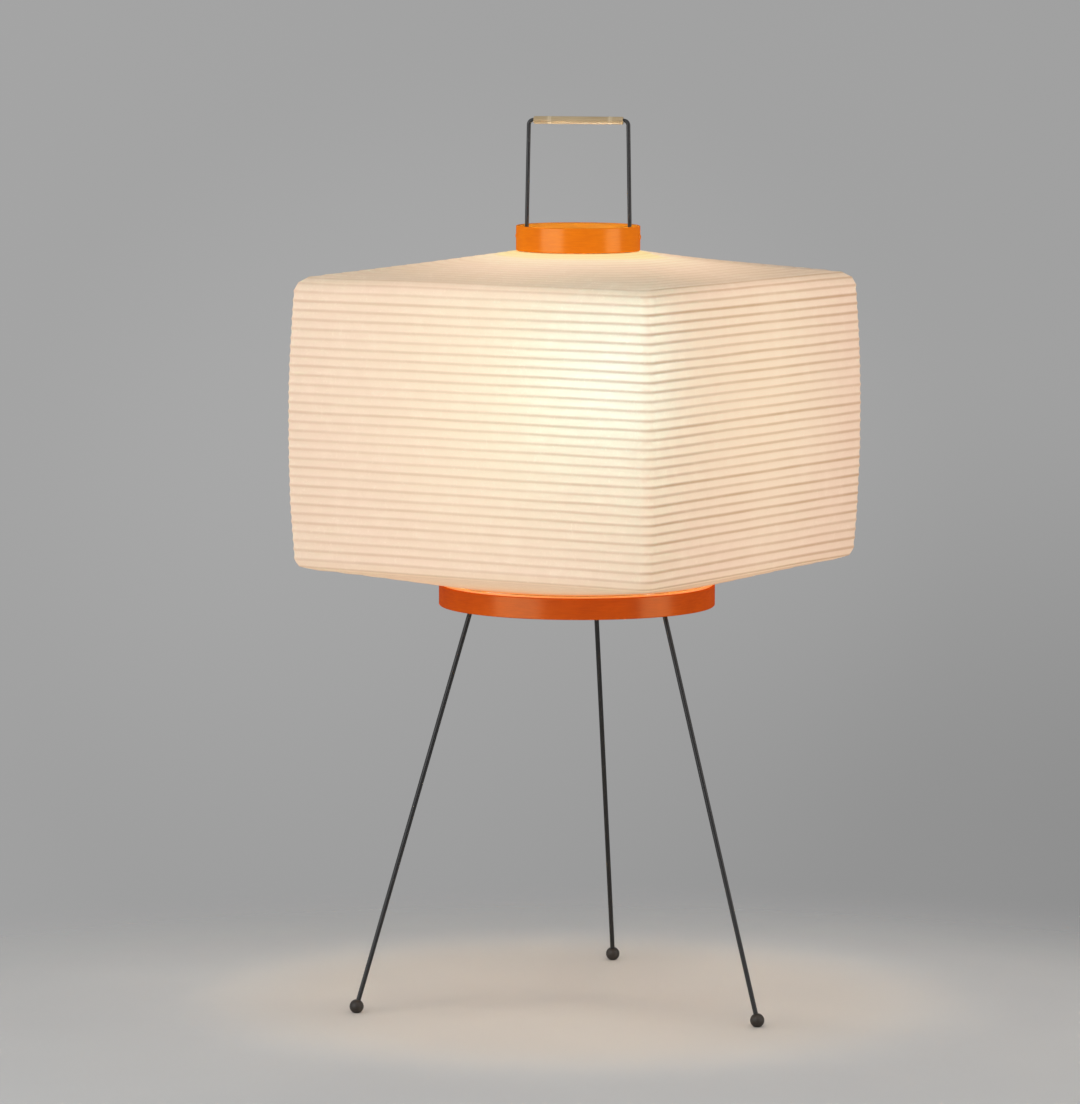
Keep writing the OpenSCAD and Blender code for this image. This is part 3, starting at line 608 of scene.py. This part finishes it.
def opal_glass():
    """Lit opal bulb, dimmer at its neck and dimmest at its crown."""
    f = Finish("opal_glass")
    height = f.add("ShaderNodeSeparateXYZ", Vector=f.place).outputs["Z"]
    neck, waist, shoulder, crown = (BULB_CENTRE.z + radii * BULB_R for radii in BULB_ZONES)
    level = f.between(height, neck, waist, BULB_NECK, 1.0)
    frosting = f.noise(500.0, detail=3.0)
    level = f.math("MULTIPLY", level, f.between(frosting, 0.2, 0.8, 0.97, 1.03))
    level = f.math("MULTIPLY", level, f.between(height, shoulder, crown, 1.0, BULB_CROWN))
    return f.surface(
        Base_Color=OPAL_GLASS,
        Roughness=0.3,
        Emission_Color=BULB_COLOUR,
        Emission_Strength=f.math("MULTIPLY", level, BULB_RADIANCE),
        Normal=f.bump(frosting, 0.00005, 0.3),
    )


def shade_stretches():
    """The outline's five stretches as (length, start point, heading, radius), radius 0 where straight."""
    swing = 2 * math.atan(2 * WALL_BARREL / WALL_HEIGHT)
    wall_r = WALL_HEIGHT / 2 / math.sin(swing)
    upright = math.pi / 2

    def slope_length(half, r, slope):
        run = SHADE_HALF - half - WALL_BARREL - r * (math.cos(swing) - math.sin(slope))
        return run / math.cos(slope)

    shapes = [
        (slope_length(FOOT_HALF, BELLY_R, BELLY_SLOPE), BELLY_SLOPE, 0.0),
        (BELLY_R * (upright - swing - BELLY_SLOPE), BELLY_SLOPE, BELLY_R),
        (wall_r * 2 * swing, upright - swing, wall_r),
        (CROWN_R * (upright - swing - CROWN_SLOPE), upright + swing, CROWN_R),
        (slope_length(CROWN_HALF, CROWN_R, CROWN_SLOPE), math.pi - CROWN_SLOPE, 0.0),
    ]
    point = (FOOT_HALF, FOOT_Z)
    stretches = []
    for length, heading, r in shapes:
        stretches.append((length, point, heading, r))
        point = follow(point, heading, r, length)[0]
    return stretches


def follow(point, heading, r, distance):
    """Point and heading at a distance along a straight or round stretch."""
    if r == 0.0:
        return (point[0] + distance * math.cos(heading), point[1] + distance * math.sin(heading)), heading
    turned = heading + distance / r
    across = point[0] + r * (math.sin(turned) - math.sin(heading))
    up = point[1] + r * (math.cos(heading) - math.cos(turned))
    return (across, up), turned


STRETCHES = shade_stretches()
OUTLINE_LENGTH = sum(stretch[0] for stretch in STRETCHES)
BELLY_LENGTH = STRETCHES[0][0]
CROWN_LENGTH = STRETCHES[4][0]
CROWN_START = OUTLINE_LENGTH - CROWN_LENGTH
RIB_COUNT = round(OUTLINE_LENGTH / RIB_PITCH)
RIB_STEP = OUTLINE_LENGTH / RIB_COUNT


def outline(s):
    """Point (distance from the centre line, height) and heading of the shade's outline at length s."""
    left = min(max(s, 0.0), OUTLINE_LENGTH)
    for length, point, heading, r in STRETCHES[:-1]:
        if left <= length:
            return follow(point, heading, r, left)
        left -= length
    length, point, heading, r = STRETCHES[-1]
    return follow(point, heading, r, min(left, length))


def squareness(s):
    """0 is round, at the hoops, and 1 is square, on the walls."""
    if s < BELLY_LENGTH:
        return max(0.0, s / BELLY_LENGTH)
    if s > CROWN_START:
        return max(0.0, 1 - (s - CROWN_START) / CROWN_LENGTH)
    return 1.0


def section_columns():
    """Columns of one wall, corner to corner: bend of the corner, place across the flat, angle if round."""
    half = math.pi / 4
    turn = half / CORNER_COLUMNS
    fan = (half - ROUND_FLAT) / CORNER_COLUMNS
    columns = [(-half + k * turn, -1.0, -half + k * fan) for k in range(CORNER_COLUMNS)]
    for k in range(FLAT_COLUMNS):
        across = -1 + 2 * k / FLAT_COLUMNS
        columns.append((0.0, across, across * ROUND_FLAT))
    columns += [(k * turn, 1.0, ROUND_FLAT + k * fan) for k in range(CORNER_COLUMNS)]
    return np.array(columns)


COLUMNS = section_columns()
AROUND = 4 * len(COLUMNS)
RING_TURNS = np.concatenate([COLUMNS[:, 0] + side * math.pi / 2 for side in range(4)])
RING_ACROSS = np.tile(COLUMNS[:, 1], 4)


def level_ring(s, depth):
    """Points of the level section at length s, that far inside the outline, all the way round."""
    (a, z), heading = outline(s)
    a -= depth * math.sin(heading)
    z += depth * math.cos(heading)
    r = CORNER_R - depth
    square = squareness(s)
    bend, across, round_at = COLUMNS.T
    x = (1 - square) * a * np.cos(round_at) + square * (a - r + r * np.cos(bend))
    y = (1 - square) * a * np.sin(round_at) + square * (across * (a - r) + r * np.sin(bend))
    rings = []
    for side in range(4):
        turn = SHADE_TURN + side * math.pi / 2
        rings.append(np.stack([
            x * math.cos(turn) - y * math.sin(turn),
            x * math.sin(turn) + y * math.cos(turn),
            np.full(len(x), z),
        ], axis=1))
    return np.concatenate(rings)


def hand_made(points):
    """How far each point of the paper strays from the true form, because the ribs are laid by hand."""
    strays = np.zeros_like(points)
    for i, (x, y, z) in enumerate(points):
        up_down = Vector((WAVE_ACROSS * x, WAVE_ACROSS * y, WAVE_UP * z))
        in_out = Vector((BULGE_ACROSS * x, BULGE_ACROSS * y, BULGE_UP * z + BULGE_SHIFT))
        strays[i, 2] = noise.noise(up_down)
        strays[i, :2] = BULGE_SHARE * noise.noise(in_out) * points[i, :2] / BULGE_ARM
    top = outline(OUTLINE_LENGTH)[0][1]
    free = np.clip((points[:, 2] - FOOT_Z) / STILL_AT_FOOT, 0.0, 1.0)
    free *= np.clip((top - points[:, 2]) / STILL_AT_TOP, 0.0, 1.0)
    return strays * RIB_WAVE * free[:, None]


def new_piece(name, points, faces):
    """A smooth mesh object in the scene."""
    mesh = bpy.data.meshes.new(name)
    mesh.from_pydata([tuple(p) for p in points], [], faces)
    mesh.polygons.foreach_set("use_smooth", [True] * len(mesh.polygons))
    mesh.update()
    piece = bpy.data.objects.new(name, mesh)
    bpy.context.scene.collection.objects.link(piece)
    return piece


def float_attribute(piece, name, values):
    """Stores one number for each point of a piece."""
    attribute = piece.data.attributes.new(name, "FLOAT", "POINT")
    attribute.data.foreach_set("value", np.asarray(values, np.float32))


def grid_faces(rows, columns, first=0, flip=False):
    """Quads of a grid that closes on itself across its columns."""
    faces = []
    for i in range(rows - 1):
        for j in range(columns):
            k = (j + 1) % columns
            low, high = first + i * columns, first + (i + 1) * columns
            face = (low + j, low + k, high + k, high + j)
            faces.append(face[::-1] if flip else face)
    return faces


def double_wall_faces(rows, columns):
    """Faces of an outer grid, of an inner grid whose points follow it, and of the edges that join them."""
    size = rows * columns
    faces = grid_faces(rows, columns) + grid_faces(rows, columns, size, flip=True)
    for row, turned in ((0, True), (rows - 1, False)):
        start = row * columns
        for j in range(columns):
            k = (j + 1) % columns
            face = (start + j, start + k, size + start + k, size + start + j)
            faces.append(face[::-1] if turned else face)
    return faces


def by_band(s, belly, wall, crown):
    """A value that each band of the paper has, blended over the rounded edges between them."""
    stops = [0.0, BELLY_LENGTH, BELLY_LENGTH + STRETCHES[1][0], CROWN_START - STRETCHES[3][0], CROWN_START]
    return float(np.interp(s, stops, [belly, belly, wall, wall, crown]))


def bulb_light(points, s):
    """The bulb's light on each point of a level ring, where 1 is the middle of a wall."""
    heading = outline(s)[1]
    turns = SHADE_TURN + RING_TURNS
    across, up = math.sin(heading), -math.cos(heading)
    normals = np.stack([across * np.cos(turns), across * np.sin(turns), np.full(AROUND, up)], axis=1)
    ways = points - np.array(LIGHT_CENTRE)
    distance = np.linalg.norm(ways, axis=1)
    facing = np.clip((ways * normals).sum(axis=1) / distance, 0.0, 1.0)
    return facing * (SHADE_HALF / distance) ** 2


def rib_strength(s):
    """Rib lines show most on the walls and least on the top slope."""
    if s > CROWN_START:
        return CROWN_LINES
    if s < BELLY_LENGTH:
        return BELLY_LINES
    return WALL_LINES


def paper_glow(light, s, toward_right):
    """Painted glow of each band from the bulb's light, with painted extra light under the top hoop and
    painted shade at the far corner.
    """
    band = by_band(s, BELLY_GLOW, WALL_GLOW, CROWN_GLOW)
    share = by_band(s, BELLY_SHARE, WALL_SHARE, CROWN_SHARE)
    glow = np.maximum(band + share * (np.sqrt(light) - 1), LEAST_GLOW)
    # Painted extra light under the top hoop
    glow += RIM_GLOW * math.exp(-(OUTLINE_LENGTH - s) / RIM_REACH)
    # Painted shade at the far corner of the right-hand wall
    far_corner = np.where(toward_right > 0.0, np.clip(np.sin(2 * RING_TURNS), 0.0, 1.0), 0.0)
    return glow - FAR_CORNER_DIM * far_corner


def halo_share(points, light, s, toward_right):
    """How much of the bulb shows through: less near it, low down, past the crease and on the top slope."""
    past_crease = np.clip((1 + RING_ACROSS) / CREASE_FADE, 0.0, 1.0)
    past_crease = np.where(toward_right > RIGHT_WALL_FROM, past_crease, 0.0)
    halo = np.clip(HALO_REFERENCE / np.maximum(light, LEAST_LIGHT), 0.0, 1.0)
    halo *= 1 - PAST_CREASE_LOSS * past_crease
    rise = np.clip(1 + HALO_RISE * (points[:, 2] - HALO_HEIGHT), HALO_LEAST, HALO_MOST) / HALO_MOST
    return halo * (rise * by_band(s, 1.0, 1.0, CROWN_HALO))


def paper_light(points, s):
    """Glow, share of the halo and strength of the rib lines for each point of a level ring."""
    light = bulb_light(points, s)
    toward_right = np.clip(np.cos(RING_TURNS), 0.0, 1.0)
    lines = rib_strength(s) * (LINES_EVERYWHERE + LINES_ADDED_RIGHT * toward_right)
    return paper_glow(light, s, toward_right), halo_share(points, light, s, toward_right), lines


def paper_shade():
    """The pleated paper, round at both hoops and square between them, with an outer and an inner face."""
    rows = RIB_COUNT * ROWS_PER_PITCH + 1
    lengths = [RIB_STEP * i / ROWS_PER_PITCH for i in range(rows)]
    smooth_rows, outer, inner = [], [], []
    for s in lengths:
        place = s / RIB_STEP % 1.0
        pleat = PLEAT_DEPTH * 4 * place * (1 - place)
        smooth_rows.append(level_ring(s, 0.0))
        strays = hand_made(smooth_rows[-1])
        outer.append(level_ring(s, pleat) + strays)
        inner.append(level_ring(s, pleat + PAPER_THICKNESS) + strays)
    piece = new_piece("paper_shade", np.concatenate(outer + inner), double_wall_faces(rows, AROUND))

    glow, halo, lines = zip(*[paper_light(row, s) for row, s in zip(smooth_rows, lengths)])
    values = {
        "glow": np.concatenate(glow),
        "halo": np.concatenate(halo),
        "rib_shadow": np.concatenate(lines),
        "slope": np.repeat([by_band(s, BELLY_GLOW_TINT_SHARE, 0.0, 1.0) for s in lengths], AROUND),
        "foot": np.repeat([math.exp(-s / HOOP_LIGHT_REACH) for s in lengths], AROUND),
        "along": np.repeat(np.array(lengths) / RIB_STEP, AROUND),
    }
    for name, each in values.items():
        float_attribute(piece, name, np.concatenate([each, each]))

    piece.data.materials.append(paper_outside_finish())
    piece.data.materials.append(paper_inside_finish())
    outside = (rows - 1) * AROUND
    for polygon in piece.data.polygons[outside:2 * outside]:
        polygon.material_index = 1
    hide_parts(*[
        f"{band}_{side}" for band in ("belly", "wall", "crown") for side in ("front", "right", "back", "left")
    ])
    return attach(piece, "shade")


def rib_hoops():
    """Split-bamboo hoops glued to the paper's inside, one at each crease."""
    points, faces = [], []
    for k in range(1, RIB_COUNT):
        s = k * RIB_STEP
        strays = hand_made(level_ring(s, 0.0))
        rings = []
        for side in range(RIB_SIDES):
            angle = 2 * math.pi * side / RIB_SIDES
            depth = PAPER_THICKNESS + RIB_DEPTH / 2 * (1 - math.cos(angle))
            rings.append(level_ring(s + RIB_WIDTH / 2 * math.sin(angle), depth) + strays)
        first = len(points) * AROUND
        points += rings
        for side in range(RIB_SIDES):
            this, after = first + side * AROUND, first + (side + 1) % RIB_SIDES * AROUND
            for j in range(AROUND):
                n = (j + 1) % AROUND
                faces.append((this + j, this + n, after + n, after + j))
    piece = new_piece("rib_hoops", np.concatenate(points), faces)
    piece.data.materials.append(rib_bamboo_finish())
    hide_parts("shade_ribs")
    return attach(piece, "shade")


def revolve(name, profile, steps=64):
    """A piece turned about Z from a profile of (radius, height) points; a radius of 0 closes it."""
    points, faces = [], []
    rows = []
    for r, z in profile:
        if r < 1e-6:
            rows.append([len(points)])
            points.append((0, 0, z))
            continue
        rows.append(list(range(len(points), len(points) + steps)))
        for j in range(steps):
            angle = 2 * math.pi * j / steps
            points.append((r * math.cos(angle), r * math.sin(angle), z))
    for low, high in zip(rows, rows[1:]):
        for j in range(steps):
            k = (j + 1) % steps
            if len(low) == 1:
                faces.append((low[0], high[k], high[j]))
            elif len(high) == 1:
                faces.append((low[j], low[k], high[0]))
            else:
                faces.append((low[j], low[k], high[k], high[j]))
    return new_piece(name, points, faces)


def curve_between(start, start_way, end, end_way, count):
    """Points of a cubic curve between two profile points, without its ends."""
    points = []
    for i in range(1, count):
        t = i / count
        a, b, c, d = (1 - t) ** 3, 3 * t * (1 - t) ** 2, 3 * t * t * (1 - t), t ** 3
        points.append(tuple(
            a * start[n] + b * (start[n] + start_way[n]) + c * (end[n] - end_way[n]) + d * end[n]
            for n in range(2)
        ))
    return points


def bulb_globe():
    """Opal ball drawn in to a neck."""
    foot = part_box("bulb_glass")[0].z
    lip, straight, reach = 0.0012, 0.004, 0.008
    neck_steps, arc_steps = 8, 25
    meet = math.radians(-48)
    low = (BULB_NECK_R, foot + straight)
    ball = (BULB_R * math.cos(meet), BULB_CENTRE.z + BULB_R * math.sin(meet))
    ball_way = (-reach * math.sin(meet), reach * math.cos(meet))
    profile = [(0, foot), (BULB_NECK_R - lip, foot), (BULB_NECK_R - lip / 6, foot + lip / 2), low]
    profile += curve_between(low, (0, reach), ball, ball_way, neck_steps)
    for i in range(arc_steps):
        angle = meet + (math.pi / 2 - meet) * i / arc_steps
        profile.append((BULB_R * math.cos(angle), BULB_CENTRE.z + BULB_R * math.sin(angle)))
    profile.append((0, BULB_CENTRE.z + BULB_R))
    piece = revolve("bulb_globe", profile, 72)
    piece.data.materials.append(opal_glass())
    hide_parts("bulb_glass")
    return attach(piece, "bulb")


def threaded_tube(name, outer_r, inner_r, low, high, pitch, depth, inside=False, steps=48, per_turn=8):
    """A tube on Z with a rolled round thread on its outer wall, and on its inner wall if inside is true."""
    rows = max(2, round((high - low) / pitch * per_turn)) + 1
    heights = [low + (high - low) * i / (rows - 1) for i in range(rows)]

    def wall(r, threaded):
        points = []
        for z in heights:
            fade = min(1.0, (z - low) / pitch, (high - z) / pitch)
            for j in range(steps):
                angle = 2 * math.pi * j / steps
                wave = 0.5 - 0.5 * math.cos(2 * math.pi * z / pitch - angle)
                here = r - (depth * wave * fade if threaded else 0.0)
                points.append((here * math.cos(angle), here * math.sin(angle), z))
        return points

    return new_piece(name, wall(outer_r, True) + wall(inner_r, inside), double_wall_faces(rows, steps))


def bulb_screw_cap():
    """Rolled thread of the bulb's cap, over the turned-in end that holds the insulator."""
    low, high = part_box("bulb_cap")
    r = high.x
    thread_low, thread_high = low.z + CAP_THREAD_START, high.z - CAP_THREAD_STOP
    shell = threaded_tube(
        "bulb_screw_cap", r, r - CAP_WALL, thread_low, thread_high,
        CAP_PITCH, CAP_THREAD_DEPTH, inside=True,
    )
    shell.data.materials.append(metal("nickel", NICKEL, 0.28))
    # Distance in from the cap's side and up from its end
    end_outline = [
        (0.0026, 0.0032), (0.0040, 0.0018), (0.0042, 0.0006), (0.0034, 0.0),
        (0.0014, 0.0012), (0.0005, 0.0030), (0.0022, 0.0034), (0.0026, 0.0032),
    ]
    lower = revolve("bulb_cap_end", [(r - inward, low.z + up) for inward, up in end_outline])
    lower.data.materials.append(shell.data.materials[0])
    lower.parent = shell
    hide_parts("bulb_cap")
    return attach(shell, "bulb")


def stem_thread():
    """Fine thread along the whole stem tube."""
    low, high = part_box("stem_tube")
    piece = threaded_tube(
        "stem_thread", high.x, STEM_BORE_R, low.z, high.z,
        STEM_PITCH, STEM_THREAD_DEPTH, steps=32, per_turn=6,
    )
    piece.data.materials.append(metal("stem_brass", STEM_BRASS, 0.30))
    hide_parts("stem_tube")
    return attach(piece, "stand")


def bamboo_grip():
    """Bamboo tube on the handle, slightly uneven, with a growth ring near each end."""
    low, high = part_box("grip")
    centre = (low + high) / 2
    half = (high.x - low.x) / 2
    r = (high.z - low.z) / 2
    rings_at = [half * share for share in RINGS_AT]
    rows, steps = 90, 32
    points, rings = [], []
    for i in range(rows):
        x = -half + 2 * half * i / (rows - 1)
        rise = max(math.exp(-((x - at) / RING_WIDTH) ** 2) for at in rings_at)
        groove = max(math.exp(-((x - at - GROOVE_PAST_RING) / GROOVE_WIDTH) ** 2) for at in rings_at)
        end = min(1.0, (half - abs(x)) / GRIP_END)
        row_r = r - GRIP_SKIN + RING_HEIGHT * rise - GROOVE_DEPTH * groove - GRIP_END_DEPTH * (1 - end) ** 2
        for j in range(steps):
            angle = 2 * math.pi * j / steps
            across, up = math.cos(angle), math.sin(angle)
            spot = Vector((GRIP_UNEVEN_ALONG * x, GRIP_UNEVEN_AROUND * across, GRIP_UNEVEN_AROUND * up))
            here = row_r + GRIP_UNEVEN * noise.noise(spot)
            points.append((centre.x + x, centre.y + here * across, centre.z + here * up))
            rings.append(max(rise, groove))
    for x in (half, -half):
        for j in range(steps):
            angle = 2 * math.pi * j / steps
            across, up = GRIP_BORE_R * math.cos(angle), GRIP_BORE_R * math.sin(angle)
            points.append((centre.x + x, centre.y + across, centre.z + up))
            rings.append(BORE_RING)
    faces = grid_faces(rows + 2, steps)
    last = (rows + 1) * steps
    for j in range(steps):
        k = (j + 1) % steps
        faces.append((last + j, j, k, last + k))
    piece = new_piece("bamboo_grip", points, faces)
    float_attribute(piece, "node_ring", rings)
    piece.data.materials.append(bamboo_grip_finish())
    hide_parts("grip")
    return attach(piece, "handle_grip")


def dress(material, *names):
    """Gives a material to CAD nodes."""
    for name in names:
        for slot in nodes[name].material_slots:
            slot.material = material


def soften(width, *names):
    """Small round edges, where light catches."""
    for name in names:
        bevel = nodes[name].modifiers.new("edges", "BEVEL")
        bevel.width = width
        bevel.segments = 2
        bevel.limit_method = "ANGLE"
        bevel.angle_limit = math.radians(40)
        bevel.harden_normals = False


def dress_cad_nodes():
    """Materials and softened edges of the nodes that keep their CAD form."""
    wire = painted_metal("black_wire", WIRE_BLACK, 0.36)
    leg_wire = painted_metal("leg_wire", LEG_BLACK, 0.40, worn=0.2)
    sheet = painted_metal("black_sheet", SHEET_BLACK, 0.42)
    insulator = painted_metal("black_insulator", INSULATOR_BLACK, 0.2, worn=0.1)
    brass = metal("contact_brass", BRASS, 0.26)
    zinc = metal("zinc_steel", ZINC, 0.34)
    tip = metal("tip_metal", TIP_METAL, 0.30)
    base_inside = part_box("base_hoop")[1].x - HOOP_WALL
    top_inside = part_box("top_hoop")[1].x - HOOP_WALL
    # The base hoop's lacquer is darker as painted shade under the paper shade
    shaded_base_lacquer = lacquer("base_hoop_shaded_lacquer", BASE_LACQUER_SHADED, base_inside)
    top_lacquer = lacquer("top_lacquer", TOP_LACQUER, top_inside)
    dress(wire, "carry_frame", "stop_collars")
    dress(leg_wire, "leg_left", "leg_right", "leg_back")
    dress(rubber(), "foot_left", "foot_right", "foot_back")
    dress(shaded_base_lacquer, "base_hoop")
    dress(top_lacquer, "top_hoop", "ear_rivets")
    dress(sheet, "spider", "leg_sockets", "lamp_bridge", "hoop_ears")
    dress(zinc, "stem_nuts", "frame_nuts")
    dress(foot_paper(), "foot_ring")
    dress(neck_paper(), "neck_band")
    dress(phenolic(), "holder_cap", "holder_shell")
    dress(porcelain(), "holder_core")
    dress(brass, "screw_shell", "centre_contact", "terminal_screws")
    dress(tip, "bulb_contact")
    dress(insulator, "bulb_insulator")
    soften(0.0003, "spider", "lamp_bridge", "hoop_ears", "leg_sockets", "stop_collars")
    soften(0.0002, "stem_nuts", "frame_nuts", "base_hoop", "top_hoop")


def floor():
    """Pale studio floor with a painted pool of the lamp's light round the lamp; it fades into the backdrop
    with distance and is clear from below.
    """
    piece = revolve("floor", [(FLOOR_R, 0), (FLOOR_R / 2, 0), (0, 0)], 96)
    f = Finish("studio_floor")
    from_lamp = f.vector("DISTANCE", f.place, (0, 0, 0))
    away = f.vector("DISTANCE", f.place, FADE_CENTRE)
    base = f.two_tone(f.noise(3.0), FLOOR)
    # Painted pool of the lamp's light: brighter round the lamp, and warmer close to it
    base = f.blend(f.between(from_lamp, 0.0, FLOOR_LAMP_LIGHT_REACH, 1.0, 0.0), base, FLOOR_LAMP_LIGHT, "MULTIPLY")
    warm = f.between(from_lamp, LAMP_POOL_INNER, LAMP_POOL_OUTER, 1.0, 0.0)
    base = f.blend(warm, base, LAMP_POOL_WARMTH, "MULTIPLY")
    grain = f.bump(f.noise(900.0, detail=2.0), 0.00005, 0.2)
    plain = f.principled(Base_Color=base, Roughness=0.85, Normal=grain)
    faded = f.math("MAXIMUM", f.between(away, FADE_START, FADE_END), f.from_behind())
    piece.data.materials.append(f.output(f.mixed(faded, plain, f.clear())))


def backdrop(studio, way, height):
    """Plain backdrop, darker low down and toward the picture's right, with a faint glow behind the lamp."""
    lower = studio.between(height, math.sin(BACKDROP_LOW_START), math.sin(BACKDROP_LOW_END))
    azimuth = math.radians(CAMERA_AZIMUTH)
    aside = studio.vector("DOT_PRODUCT", way, (-math.cos(azimuth), -math.sin(azimuth), 0))
    clamp = studio.add("ShaderNodeClamp", Value=aside, Min=-BACKDROP_EDGE, Max=BACKDROP_EDGE)
    held = clamp.outputs["Result"]
    slant = studio.math("MULTIPLY_ADD", lower, BACKDROP_LOW_SLANT - BACKDROP_SLANT, BACKDROP_SLANT)
    level_part = math.cos(BACKDROP_GLOW_DROP)
    toward_glow = studio.vector("DOT_PRODUCT", way, (
        -math.sin(BACKDROP_GLOW_TURN) * level_part,
        math.cos(BACKDROP_GLOW_TURN) * level_part,
        -math.sin(BACKDROP_GLOW_DROP),
    ))
    glow = studio.between(toward_glow, math.cos(BACKDROP_GLOW_REACH), 1.0, 0.0, BACKDROP_GLOW)
    strength = studio.math("ADD", studio.math("MULTIPLY_ADD", held, slant, glow), 1.0)
    colour = studio.blend(lower, BACKDROP, BACKDROP_LOW)
    return studio.add("ShaderNodeBackground", Color=colour, Strength=strength).outputs["Background"]


def world():
    """Even soft light on the object, and the backdrop wherever the camera looks past it."""
    data = bpy.data.worlds.new("studio")
    bpy.context.scene.world = data
    data.use_nodes = True
    studio = Shading(data.node_tree)
    way = studio.add("ShaderNodeTexCoord").outputs["Generated"]
    height = studio.add("ShaderNodeSeparateXYZ", Vector=way).outputs["Z"]
    sky = studio.ramp(height, SKY)
    lit = studio.add("ShaderNodeBackground", Color=sky, Strength=WORLD_LIGHT).outputs["Background"]
    ray = studio.add("ShaderNodeLightPath")
    looked_at = ray.outputs["Is Camera Ray"]
    for kind in ("Is Glossy Ray", "Is Transmission Ray"):
        looked_at = studio.math("MAXIMUM", looked_at, ray.outputs[kind])
    studio.add("ShaderNodeOutputWorld", Surface=studio.mixed(looked_at, lit, backdrop(studio, way, height)))


def soft_box(name, azimuth, distance, height, width, tall, power, colour=(1, 1, 1)):
    """Area light that faces the lamp; its azimuth is counted from the camera toward the picture's right."""
    data = bpy.data.lights.new(name, "AREA")
    data.shape = "RECTANGLE"
    data.size = width
    data.size_y = tall
    data.energy = power
    data.color = colour
    light = bpy.data.objects.new(name, data)
    angle = math.radians(-90 + CAMERA_AZIMUTH + azimuth)
    light.location = (distance * math.cos(angle), distance * math.sin(angle), height)
    aim = LIGHTS_AIM - light.location
    light.rotation_euler = aim.to_track_quat("-Z", "Y").to_euler()
    bpy.context.scene.collection.objects.link(light)


def lights():
    """Wide key light from the left, a warmer one from the right and a soft one from above."""
    soft_box("key", azimuth=-50, distance=2.2, height=1.0, width=1.8, tall=2.0, power=25)
    soft_box("side", azimuth=68, distance=2.2, height=0.80, width=1.2, tall=1.6, power=13, colour=WARM_LIGHT)
    soft_box("top", azimuth=20, distance=2.0, height=2.4, width=1.4, tall=1.4, power=10)


def rotated(first, second, angle):
    """Two axes at right angles after a turn of the first toward the second."""
    return (
        first * math.cos(angle) + second * math.sin(angle),
        second * math.cos(angle) - first * math.sin(angle),
    )


def camera():
    """Camera at its fitted place, turned by its yaw, pitch and roll."""
    azimuth, yaw, pitch, roll = (
        math.radians(v) for v in (CAMERA_AZIMUTH, CAMERA_YAW, CAMERA_PITCH, CAMERA_ROLL)
    )
    forward = Vector((-math.sin(azimuth), math.cos(azimuth), 0))
    right = Vector((math.cos(azimuth), math.sin(azimuth), 0))
    up = Vector((0, 0, 1))
    place = -CAMERA_DISTANCE * forward + CAMERA_HEIGHT * up
    forward, right = rotated(forward, right, yaw)
    forward, up = rotated(forward, up, -pitch)
    right, up = rotated(right, up, roll)
    data = bpy.data.cameras.new("camera")
    data.lens = FOCAL_LENGTH
    data.sensor_width = SENSOR
    data.sensor_fit = "AUTO"
    data.clip_end = FARTHEST_SEEN
    seat = bpy.data.objects.new("camera", data)
    axes = Matrix((right, up, -forward)).transposed()
    seat.matrix_world = Matrix.Translation(place) @ axes.to_4x4()
    bpy.context.scene.collection.objects.link(seat)
    bpy.context.scene.camera = seat


camera()
dress_cad_nodes()
paper_shade()
rib_hoops()
bulb_globe()
bulb_screw_cap()
stem_thread()
bamboo_grip()
floor()
world()
lights()
bpy.context.scene.view_settings.view_transform = "Standard"
